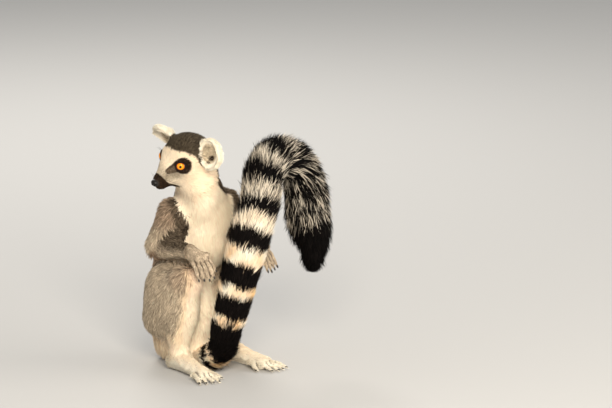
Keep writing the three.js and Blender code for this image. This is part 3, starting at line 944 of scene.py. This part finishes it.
def lies(points, nodes):
    """Which way the hair runs at each place, before it is laid along the skin."""
    lie = np.zeros((len(points), 3))
    lie[:, 2] = -1
    head = in_head(points)
    for number, name in enumerate(NODE_NAMES):
        own = nodes == number
        member, side = NODE_MEMBERS[number], name.rsplit("_", 1)[-1]
        if not own.any() or member in ("rump", "belly", "chest"):
            continue
        if member == "tail":
            lie[own] = near_tail(points[own])[2]
        elif member in FACE:
            away = unit(head[own] - (NOSE_TIP + [0, 4, 2]))
            away += np.array([0, 0.3, -0.45]) * ramp(-head[own, 2], -6, 20)[:, None]
            lie[own] = away @ HEAD_AXES.T
        elif member == "ear":
            lie[own] = unit(points[own] - head_point(SIDES[side] * 26, 4, 2))
        elif member == "neck":
            lie[own] = np.array(NECK_LIE)
        elif member == "thigh":
            lie[own] = unit(np.array(THIGH_LIE, float))
        elif member == "hand":
            start, end = bone(name)
            past = ramp((points[own] - end) @ unit(end - start), -6, 4)[:, None]
            fingers = unit(np.array(FINGERS_RUN[side], float))
            lie[own] = unit(end - start) * (1 - past) + fingers * past
        else:
            start, end = bone(name)
            lie[own] = unit((end - start) * np.array([1, 1, 0.2 if member == "foot" else 1]))
    return unit(lie)


def lock_sizes(points, nodes, edges):
    """How close, long, wide and high the locks are at each place."""
    sizes = np.array([LOCKS[kind] for kind in NODE_MEMBERS], float)[nodes]
    head = in_half_head(points)
    of_head = of(nodes, *FACE)
    face = of_head * ramp(head[:, 1] - 0.4 * head[:, 2], -4, -26)
    sizes += face[:, None] * (np.array(LOCKS_OF_FACE) - sizes)
    cheek = of_head * ramp(head[:, 1], -20, 2) * ramp(head[:, 2], -6, -22)
    sizes += cheek[:, None] * (np.array(LOCKS_OF_CHEEK) - sizes)
    for side in SIDES:
        onward, across, _ = in_ear(points, side)[0].T
        own = nodes == NODE_NAMES.index(f"ear_{side}")
        rim = ramp(np.hypot(onward / 22, across / 24), 0.7, 0.95) * own
        front = ramp(onward, -4, -12) * own * (1 - rim)
        sizes += rim[:, None] * (np.array(LOCKS_OF_EAR_RIM) - sizes)
        sizes += front[:, None] * (np.array(LOCKS_OF_EAR_FRONT) - sizes)
    return relaxed(sizes, edges, 0.5, 12)


def bareness(points, normals, nodes):
    """1 where no hair grows: the lids, the lips, the nose pad, the cups of the ears, the soles."""
    head = in_half_head(points)
    of_head = of(nodes, *FACE)
    bare = ramp(nearer_eye_spread(points), 1.42, 1.22)
    bare = np.maximum(bare, of_head * ramp(off_path(head, MOUTH), 1.5, 0.8))
    off_nose = np.linalg.norm((head - NOSE_MIDDLE) / NOSE_RADII, axis=1)
    bare = np.maximum(bare, of_head * ramp(off_nose, 1.24, 1.1))
    for side in SIDES:
        ear, axes = in_ear(points, side)
        onward, across, _ = ear.T
        cup = ramp(np.hypot((onward + 3) / 14, (across - 1) / 16), 1.1, 0.85)
        own = nodes == NODE_NAMES.index(f"ear_{side}")
        cup = cup * ramp(onward, -14, -5)
        bare = np.maximum(bare, 0.85 * own * cup * ramp(normals @ axes[:, 2], 0.1, 0.5))
    return np.maximum(bare, of(nodes, "foot") & (normals[:, 2] < -0.6))


skin_normals = normals_of(skin_points, skin_faces)
skin_edges = edges_of(skin_faces)
skin_outline = skin_points + skin_depth[:, None] * skin_normals
skin_colours = markings(skin_outline, skin_normals, skin_nodes)
skin_lies = relaxed(lies(skin_points, skin_nodes), skin_edges, 0.5, 25)
skin_sizes = lock_sizes(skin_points, skin_nodes, skin_edges)
skin_bare = bareness(skin_points, skin_normals, skin_nodes)
# Painted shade under the coat: skin that hair grows on is painted darker; bare skin and the ears
# keep their full colour.
painted_shade_under_coat = 0.55 + 0.45 * np.maximum(skin_bare, of(skin_nodes, "ear"))[:, None]
lid_rim = ramp(nearer_eye_spread(skin_points), 1.45, 1.2)[:, None]
give_colour(skin.data, painted_shade_under_coat * skin_colours * (1 - lid_rim) + LID * lid_rim)

# ---------------------------------------------------------------- the coat

HAIR = finish_of("hair", 0.8, 0.08)
PATCH = 0.003  # how much of the unwrap each lock takes
SINK = 0.35  # how deep the root of a lock is sunk in the skin
FLOOR_GAP = 0.3  # how far hair and nails stay above the floor
BRIGHTEST = 0.92

# How much the locks differ from one another, as a share of their size.
TALL = (0.78, 1.04)
TALL_ON_TAIL = (0.6, 1.1)
LONG = (0.75, 1.15)
WIDE = (0.75, 1.2)
STRAY = 0.16  # how far a lock strays from the lie of the coat by itself
TOUSLE = 0.22  # and together with its neighbours
TOUSLE_SIZE = 17

LOOSE = (215, 310)  # the tail's hair gets looser from the first place along it to the second
HANGING = (385, 430, 480, 535)  # where the hanging end of the tail is fullest, eased at both ends
TOWARDS_BODY = np.array([-0.82, 0.57, 0])  # and the side that it is fullest on
FULLER = 10
TAPER = (85, 5)  # the hair lies down from the first place to the second, before the tail's end
PAST_END = 9  # how far the last hair reaches past the end of the tail
BEHIND_TAIL = ((14, -10, 168), (14, -10, 196))  # the bib's hair is longer here, and meets the tail
BEHIND_TAIL_LONGER = 11


def region_unwrap(name, faces):
    """Some of the skin's faces, unwrapped on their own: a place in the map for each corner."""
    used, packed = np.unique(faces, return_inverse=True)
    piece = piece_from(name, mesh_from(name, row(skin_points[used]), packed.reshape(-1, 3)))
    bpy.ops.object.select_all(action="DESELECT")
    piece.select_set(True)
    bpy.context.view_layer.objects.active = piece
    bpy.ops.object.mode_set(mode="EDIT")
    bpy.ops.mesh.select_all(action="SELECT")
    bpy.ops.uv.smart_project(
        angle_limit=math.radians(66), island_margin=0.004, scale_to_bounds=True
    )
    bpy.ops.object.mode_set(mode="OBJECT")
    places = np.empty(6 * len(faces), np.float32)
    piece.data.uv_layers.active.data.foreach_get("uv", places)
    bpy.data.objects.remove(piece)
    return places.reshape(-1, 3, 2)


def lit_sides(faces, facing):
    """How each corner of each face takes the light, never from behind the face."""
    flat = unit(np.cross(faces[:, :, 1] - faces[:, :, 0], faces[:, :, 2] - faces[:, :, 0]))
    flat = flat[:, :, None]
    short = 0.25 - (facing * flat).sum(3, keepdims=True)
    return unit(facing + 1.2 * np.maximum(short, 0) * flat)


def locks_mesh(name, roots, along, out, long, wide, tall, root_tone, tip_tone, at_map, soft):
    """Closed blades, three-sided, that rise from their roots and bend over along the body.

    The softer a lock, the more it takes the light as the body under it does.
    """
    count = len(roots)
    across = np.cross(out, along)
    stations = ((0, 0, 1, 0), (0.5, 0.74, 0.92, 0.5))  # onward, lifted, girth, share of tip's tone
    corners = np.empty((count, 7, 3))
    tones = np.empty((count, 7, 3))
    spots = np.empty((count, 7, 2))
    facing = np.empty((count, 7, 3))
    soft = np.broadcast_to(soft, count)[:, None]
    for ring, (onward, lift, girth, share) in enumerate(stations):
        middle = roots + along * (long * onward)[:, None]
        middle = middle + out * (tall * lift - SINK * (1 - onward))[:, None]
        half = (wide * girth / 2)[:, None]
        for corner, (aside, above) in enumerate(((-1, 0), (1, 0), (0, 0.8))):
            place = 3 * ring + corner
            corners[:, place] = middle + across * aside * half + out * above * half
            tones[:, place] = root_tone * (1 - share) + tip_tone * share
            spots[:, place] = at_map + PATCH / 2 * np.array([aside, 2 * share - 1])
            own = unit(across * aside + out * (2 * above - 0.4))
            facing[:, place] = unit(own * (1 - soft) + out * soft)
    corners[:, 6] = roots + along * long[:, None] + out * tall[:, None]
    tones[:, 6] = tip_tone
    facing[:, 6] = out
    spots[:, 6] = at_map + PATCH / 2 * np.array([0, 1])
    corners[:, :, 2] = np.maximum(corners[:, :, 2], FLOOR_GAP)
    blade = np.array([
        (0, 2, 1), (0, 1, 4), (0, 4, 3), (1, 2, 5), (1, 5, 4), (2, 0, 3), (2, 3, 5),
        (3, 4, 6), (4, 5, 6), (5, 3, 6),
    ])
    faces = (blade[None] + 7 * np.arange(count)[:, None, None]).reshape(-1, 3)
    mesh = mesh_from(name, row(corners.reshape(-1, 3)), faces)
    mesh.normals_split_custom_set(lit_sides(corners[:, blade], facing[:, blade]).reshape(-1, 3))
    give_colour(mesh, tones.reshape(-1, 3))
    unwrap = mesh.uv_layers.new(name="OFBake")
    unwrap.data.foreach_set("uv", spots.reshape(-1, 2)[faces.ravel()].astype(np.float32).ravel())
    return mesh


def scattered(faces):
    """Chance places on the skin's faces, as close together as its locks grow.

    For each: the number of its face, and how near it is to each of that face's corners.
    """
    a, b, c = (skin_points[faces[:, k]] for k in range(3))
    areas = np.linalg.norm(np.cross(b - a, c - a), axis=1) / 2
    close = skin_sizes[faces].mean(1)[:, 0] * (1 - skin_bare[faces].mean(1))
    total = np.cumsum(areas / 100 * close)
    count = int(total[-1])
    picks = np.searchsorted(total, (np.arange(count) + chance.random(count)) * total[-1] / count)
    picks = np.minimum(picks, len(faces) - 1)
    shares = chance.random((count, 2))
    folded = shares.sum(1) > 1
    shares[folded] = 1 - shares[folded]
    return picks, np.column_stack([1 - shares.sum(1), shares])


def lock_measures(roots, out, sizes, depth, on_tail, run):
    """How long, wide and high each lock is."""
    count = len(roots)
    _, long, wide, tall = sizes.T
    depth = np.where(on_tail, tail_girth(run) - tail_core(run) - 1, depth)
    tall = tall * depth * np.where(
        on_tail, chance.uniform(*TALL_ON_TAIL, count), chance.uniform(*TALL, count)
    )
    long = long * chance.uniform(*LONG, count)
    full_from, full, still_full, full_to = HANGING
    hanging = on_tail * ramp(run, full_from, full) * ramp(run, full_to, still_full)
    tall = tall + FULLER * hanging * np.maximum(out @ TOWARDS_BODY, 0)
    tall = tall + BEHIND_TAIL_LONGER * ramp(off_line(roots, *BEHIND_TAIL), 20, 8) * ~on_tail
    tall = tall * (1 - 0.8 * on_tail * ramp(run, *(TAIL_LENGTH - place for place in TAPER)))
    loose_long = long * (1 + 0.25 * on_tail * ramp(run, *LOOSE))
    left = np.maximum(TAIL_LENGTH + PAST_END - run, 12)
    long = np.where(on_tail, np.minimum(loose_long, left), long)
    return long, wide * chance.uniform(*WIDE, count), tall, depth


def laid(lie, roots, out, nodes):
    """The lie of each lock along the skin, calmer on the bib and the ears."""
    bib = of(nodes, "neck", "chest", "belly")[:, None]
    stray = STRAY * (1 - 0.45 * bib - 0.5 * of(nodes, "ear")[:, None])
    lie = lie + stray * chance.normal(size=(len(roots), 3))
    tousle = np.stack([wander(roots, TOUSLE_SIZE, seed) for seed in (21, 22, 23)], axis=1)
    lie = lie + TOUSLE * (1 - 0.5 * bib) * tousle
    return unit(lie - out * (lie * out).sum(1, keepdims=True))


def lock_tones(colour, roots, nodes, loose):
    """The colour of each lock at its root, darkened there as painted shade, and at its tip, and how
    soft it looks.
    """
    count = len(roots)
    bright = colour.mean(1, keepdims=True)
    grizzle = 0.06 + 0.22 * ramp(bright, 0.7, 0.4) + 0.3 * ramp(bright, 0.3, 0.1)
    shade = np.exp(chance.normal(0, grizzle, (count, 1))).clip(0.4, 2.5)
    patchy = 0.07 * wander(roots, 7, 41) + 0.06 * wander(roots, 24, 42)
    shade *= 1 + patchy[:, None] * ramp(bright, 0.75, 0.5)
    # Painted shade deep in the coat: each lock is darker at its root than at its tip, least on pale
    # hair and much darker again in the loose hair of the tail.
    low = 0.5 + 0.42 * ramp(bright, 0.15, 0.6)
    low = low * (1 - 0.9 * (loose * chance.uniform(0.6, 1, count))[:, None])
    tip = np.where(chance.random(count) < 0.3 * loose, 0.2, 1.08 - 0.2 * loose)[:, None]
    pale_hair = ramp(bright[:, 0], 0.4, 0.7) * ~of(nodes, "tail")
    softness = 0.4 + 0.25 * of(nodes, "neck", "chest", "belly") + 0.25 * pale_hair
    return colour * shade * low, np.clip(colour * shade * tip, 0, BRIGHTEST), softness


def coat(name, where, slot):
    """One piece of the coat, over the skin that where chooses."""
    faces = skin_faces[where[skin_faces[:, 0]]]
    unwrap = region_unwrap(name, faces)
    picks, shares = scattered(faces)

    def at_roots(values):
        corners = values[faces[picks]]
        return (corners * shares.reshape(shares.shape + (1,) * (corners.ndim - 2))).sum(1)

    roots, out = at_roots(skin_points), unit(at_roots(skin_normals))
    nodes = skin_nodes[faces[picks, 0]]
    on_tail = of(nodes, "tail")
    run, _, heading = near_tail(roots)
    loose = on_tail * ramp(run, *LOOSE)
    long, wide, tall, depth = lock_measures(
        roots, out, at_roots(skin_sizes), at_roots(skin_depth), on_tail, run
    )
    along = laid(at_roots(skin_lies), roots, out, nodes)
    shown = np.where(on_tail, 0.7, 0.5) * long  # how far along a lock its colour is read
    seen = roots + out * (0.8 * depth)[:, None] + along * shown[:, None]
    seen += heading * (on_tail * (1 + 5 * loose) * chance.normal(size=len(roots)))[:, None]
    root_tone, tip_tone, softness = lock_tones(markings(seen, out, nodes), roots, nodes, loose)
    at_map = np.clip((unwrap[picks] * shares[:, :, None]).sum(1), PATCH, 1 - PATCH)
    mesh = locks_mesh(
        name, roots, along, out, long, wide, tall, root_tone, tip_tone, at_map, softness
    )
    fixed_piece(name, mesh, HAIR, slot)


def skin_of(*members, side=""):
    """The skin of the given members, on one side or on both."""
    on_side = np.array([name.endswith(side) for name in NODE_NAMES])
    return of(skin_nodes, *members) & on_side[skin_nodes]


def tail_skin(first, last):
    """The skin from one length of the tail to another."""
    numbers = [NODE_NAMES.index(f"tail_{length}") for length in range(first, last + 1)]
    return np.isin(skin_nodes, numbers)


dark_hair = skin_colours.mean(1) < 0.2
for name, where, slot in (
    ("coat_back", skin_of("rump"), "grey_coat"),
    ("coat_belly", skin_of("belly", "chest"), "white_coat"),
    ("coat_neck", skin_of("neck"), "white_coat"),
    ("coat_crown", skin_of("head") & dark_hair, "grey_coat"),
    ("coat_cheeks", skin_of("head") & ~dark_hair, "white_coat"),
    ("coat_face", skin_of("muzzle", "eye"), "white_coat"),
    ("coat_ears", skin_of("ear"), "white_coat"),
    ("coat_arm_right", skin_of("upper_arm", "forearm", "hand", side="right"), "grey_coat"),
    ("coat_arm_left", skin_of("upper_arm", "forearm", "hand", side="left"), "grey_coat"),
    ("coat_leg_right", skin_of("thigh", "shin", "foot", side="right"), "grey_coat"),
    ("coat_leg_left", skin_of("thigh", "shin", "foot", side="left"), "grey_coat"),
    ("coat_tail_lower", tail_skin(1, 4), "ringed_coat"),
    ("coat_tail_upper", tail_skin(5, 7), "ringed_coat"),
    ("coat_tail_end", tail_skin(8, 9), "black_coat"),
):
    coat(name, where, slot)

# ---------------------------------------------------------------- eyes


def turned_profile(angles, radii, sides):
    """A closed round body: rings about the axis from its front pole to its back one."""
    rings = []
    for angle, radius in zip(angles[1:-1], radii[1:-1]):
        around = 2 * math.pi * np.arange(sides) / sides
        rings.append(radius * np.stack([
            np.sin(angle) * np.cos(around), np.sin(angle) * np.sin(around),
            np.full(sides, np.cos(angle)),
        ], axis=1))
    corners = np.concatenate([[[0, 0, radii[0]]], *rings, [[0, 0, -radii[-1]]]])
    faces = []
    last = len(corners) - 1
    for side in range(sides):
        after = (side + 1) % sides
        faces.append((0, 1 + side, 1 + after))
        for ring in range(len(rings) - 1):
            a, b = 1 + ring * sides + side, 1 + ring * sides + after
            faces += [(a, a + sides, b + sides), (a, b + sides, b)]
        end = 1 + (len(rings) - 1) * sides
        faces.append((last, end + after, end + side))
    return corners, np.array(faces)


# Over the eye, in degrees from the middle of its front.
EYE_RINGS = (*range(0, 14, 1), *range(14, 60, 2), *range(60, 181, 10))
EYE_STREAKS = ((9, 0.4), (17, 2.1), (29, 4.0))  # how many round the iris, and how far turned
CORNEA_RISE = 0.55
CORNEA = (46, 8)  # where the cornea starts to rise, and where it is highest
PUPIL_EDGE = (13.5, 11.5)
IRIS_EDGE = (41, 45)


def eye_piece(side, finish):
    """An eyeball with its raised cornea; the iris and the pupil are its colours."""
    middle, gaze, outer, upper = eye_axes(side, GAZE[side])
    angles = np.radians(np.array(EYE_RINGS, float))
    radii = EYE_RADIUS + CORNEA_RISE * ramp(angles, *(math.radians(edge) for edge in CORNEA))
    corners, faces = turned_profile(angles, radii, 64)
    away = np.degrees(np.arccos(np.clip(unit(corners)[:, 2], -1, 1)))
    around = np.arctan2(corners[:, 1], corners[:, 0])
    streaks = sum(np.sin(number * around + turn) for number, turn in EYE_STREAKS) / 3
    golden = ramp(away, 34, 14) * (0.8 + 0.3 * streaks)
    colour = mixed(all_of(AMBER, len(corners)), GOLD, golden)
    colour = mixed(colour, EMBER, ramp(away, 33, 41) * 0.8 + 0.15 * ramp(streaks, 0.2, 0.8))
    colour = mixed(colour, LID, ramp(away, *IRIS_EDGE))
    colour = mixed(colour, WHITE_OF_EYE, ramp(away, 47, 56))
    colour = mixed(colour, PUPIL, ramp(away, *PUPIL_EDGE))
    axes = HEAD_AXES @ np.stack([outer, upper, gaze], axis=1)
    places = head_point(*middle) + corners @ axes.T
    if np.linalg.det(axes) < 0:
        faces = faces[:, ::-1]
    mesh = mesh_from("eye_" + side, row(places), faces)
    give_colour(mesh, colour)
    piece = fixed_piece("eyeball_" + side, mesh, finish, "eye")
    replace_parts(piece, "eye_" + side)


wet_eye = finish_of("wet_eye", 0.12, 0.2, wetness=0.6)
for side in SIDES:
    eye_piece(side, wet_eye)

# ---------------------------------------------------------------- nose

# The nostril, a comma on the left of the pad, as if the pad were a ball of radius 1.
NOSTRIL_LINE = [(0.4, -0.88, -0.18), (0.62, -0.78, -0.04), (0.84, -0.53, 0.06), (0.97, -0.2, -0.04)]
NOSE_BLUNTNESS = 2.6  # 2 is a ball; more is closer to a box


def nose_piece():
    """The bare pad of the nose, with a nostril on each side and the cleft between them, painted
    dark with shade where they are deep.
    """
    rings, sides = 41, 56
    corners, faces = turned_profile(np.radians(np.linspace(0, 180, rings)), np.ones(rings), sides)
    ahead = unit(corners)
    local = np.stack([ahead[:, 0], -ahead[:, 2], ahead[:, 1]], axis=1)
    depth = np.zeros(len(local))
    for sign in SIDES.values():
        off = off_path(local * [sign, 1, 1], NOSTRIL_LINE)
        off = off - 0.05 * ramp(sign * local[:, 0], 0.7, 0.4)
        depth += 0.3 * ramp(off, 0.2, 0.03) - 0.05 * ramp(np.abs(off - 0.26), 0.12, 0)
    cleft = np.abs(local[:, 0]) + ramp(local[:, 2], 0.1, 0.5)
    depth += 0.1 * ramp(cleft, 0.12, 0) * ramp(-local[:, 1], 0.2, 0.6)
    grain = 0.008 * wander(local, 0.2, 31)
    blunt = (np.abs(local) ** NOSE_BLUNTNESS).sum(1) ** (-1 / NOSE_BLUNTNESS)
    shape = local * (0.97 * blunt - depth + grain)[:, None] * NOSE_RADII
    mesh = mesh_from("nose_pad", row(HEAD_MIDDLE + (shape + NOSE_MIDDLE) @ HEAD_AXES.T), faces)
    # Painted shade: the nostrils and the cleft are painted darker the deeper they are.
    give_colour(mesh, mixed(all_of(NOSE, len(local)), NOSTRIL_SHADE, ramp(depth, 0.05, 0.16)))
    leather = finish_of("nose_leather", 0.45, 0.25, wetness=0.08)
    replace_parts(fixed_piece("nose_pad", mesh, leather, "nose_skin"), "nose")


nose_piece()

# ---------------------------------------------------------------- whiskers


def whiskers():
    """A few stiff dark hairs on each side of the muzzle and over each eye."""
    spots = [(8 + 1.5 * k, -53 + 4.2 * k, -21 - 3 * line) for line in range(2) for k in range(3)]
    spots += [(19 + 2 * k, -31 + 1.5 * k, 9) for k in range(2)]
    numbers = [n for n, kind in enumerate(NODE_MEMBERS) if kind in ("head", "muzzle", "eye")]
    faces = skin_faces[np.isin(skin_nodes[skin_faces[:, 0]], numbers)]
    unwrap = region_unwrap("whiskers", faces)
    wanted = np.array([head_point(sign * a, b, c) for sign in SIDES.values() for a, b, c in spots])
    picks = nearest_places(skin_points[faces].mean(1), wanted)
    sign = np.repeat(list(SIDES.values()), len(spots))
    out = unit(skin_normals[faces[picks]].mean(1))
    heading = np.stack([0.8 * sign, np.full(len(sign), 0.6), np.full(len(sign), -0.3)], axis=1)
    heading = heading @ HEAD_AXES.T
    along = unit(heading - out * (heading * out).sum(1, keepdims=True))
    over_eye = in_head(wanted)[:, 2] > 0
    long = chance.uniform(11, 18, len(sign)) - 4 * over_eye
    mesh = locks_mesh(
        "whiskers", skin_points[faces[picks]].mean(1), along, out, long,
        np.full(len(sign), 0.3), 0.8 * long, BLACK, BLACK, unwrap[picks].mean(1), 0,
    )
    fixed_piece("whiskers", mesh, HAIR, "black_coat")


whiskers()

# ---------------------------------------------------------------- nails

NAIL_RADII = (1.45, 0.75, 2.9)  # across, upright and along, on a finger


def nails():
    """One nail, modelled once and set on the end of each digit."""
    rings, sides = 9, 10
    corners, faces = turned_profile(np.radians(np.linspace(0, 180, rings)), np.ones(rings), sides)
    nail = corners * NAIL_RADII
    nail[:, 1] += 0.5 - 0.16 * nail[:, 0] ** 2 - 0.05 * np.maximum(nail[:, 2], 0) ** 2
    places, all_faces = [], []
    for side in SIDES:
        for member in DIGITS:
            for _, _, tip, out, back, radius in digits(member, side):
                aside = np.cross(back, out)
                size = radius / DIGITS["hand"]["radius"]
                middle = tip - 0.6 * out + back * 0.32 * radius
                spots = middle + size * nail @ np.stack([aside, back, out])
                spots[:, 2] = np.maximum(spots[:, 2], FLOOR_GAP)
                all_faces.append(faces + len(places) * len(nail))
                places.append(spots)
    mesh = mesh_from("nails", row(np.concatenate(places)), np.concatenate(all_faces))
    give_colour(mesh, all_of(NAIL, len(mesh.vertices)))
    fixed_piece("nails", mesh, finish_of("nail", 0.3, 0.5), "paw_skin")


nails()

# ---------------------------------------------------------------- floor, light, camera

# Each lamp: where it stands, the size of its face, its power and its colour. Metres and watts.
LAMPS = {
    "key": ((-1.15, -2.05, 1.3), 0.9, 72, (1, 0.92, 0.8)),
    "fill": ((1.6, -1.5, 0.8), 1.6, 30, (1, 0.93, 0.84)),
    "rim": ((0.9, 1.9, 1.7), 1.0, 34, (1, 0.96, 0.9)),
}
LAMPS_AIM = Vector((0, 0, 0.2))

CAMERA_TURN = math.radians(-35)  # round from the front
CAMERA_RISE = math.radians(12)
CAMERA_BACK = 12.565
CAMERA_LENS = 500
CAMERA_RIGHT = 0.1485  # how far right of and above the source's zero the camera looks
CAMERA_ABOVE = 0.2418


def plain_floor():
    bpy.ops.mesh.primitive_plane_add(size=12, location=(0, 0, 0))
    floor = bpy.context.active_object
    floor.name = "floor"
    plain = bpy.data.materials.new("plain_floor")
    plain.use_nodes = True
    shader = plain.node_tree.nodes["Principled BSDF"]
    shader.inputs["Base Color"].default_value = (0.5, 0.495, 0.485, 1)
    shader.inputs["Roughness"].default_value = 0.9
    floor.data.materials.append(plain)


def studio_light():
    bpy.context.scene.view_settings.view_transform = "Standard"
    world = bpy.data.worlds.new("studio")
    bpy.context.scene.world = world
    world.use_nodes = True
    around = world.node_tree.nodes["Background"]
    around.inputs["Color"].default_value = (0.97, 0.97, 0.96, 1)
    around.inputs["Strength"].default_value = 0.55
    for name, (place, size, power, colour) in LAMPS.items():
        lamp = bpy.data.lights.new(name, "AREA")
        lamp.size, lamp.energy, lamp.color = size, power, colour
        holder = bpy.data.objects.new(name, lamp)
        bpy.context.scene.collection.objects.link(holder)
        holder.location = place
        holder.rotation_euler = (LAMPS_AIM - holder.location).to_track_quat("-Z", "Y").to_euler()


def set_camera():
    back = Vector((
        math.sin(CAMERA_TURN) * math.cos(CAMERA_RISE),
        -math.cos(CAMERA_TURN) * math.cos(CAMERA_RISE),
        math.sin(CAMERA_RISE),
    ))
    right = Vector((math.cos(CAMERA_TURN), math.sin(CAMERA_TURN), 0))
    above = back.cross(right)
    eye = bpy.data.cameras.new("camera")
    eye.lens, eye.sensor_width = CAMERA_LENS, 36
    eye.clip_start, eye.clip_end = 0.1, 50
    camera = bpy.data.objects.new("camera", eye)
    bpy.context.scene.collection.objects.link(camera)
    aim = Vector(ZERO) + CAMERA_RIGHT * right + CAMERA_ABOVE * above
    camera.location = aim + CAMERA_BACK * back
    camera.rotation_euler = (-back).to_track_quat("-Z", "Y").to_euler()
    bpy.context.scene.camera = camera


plain_floor()
studio_light()
set_camera()
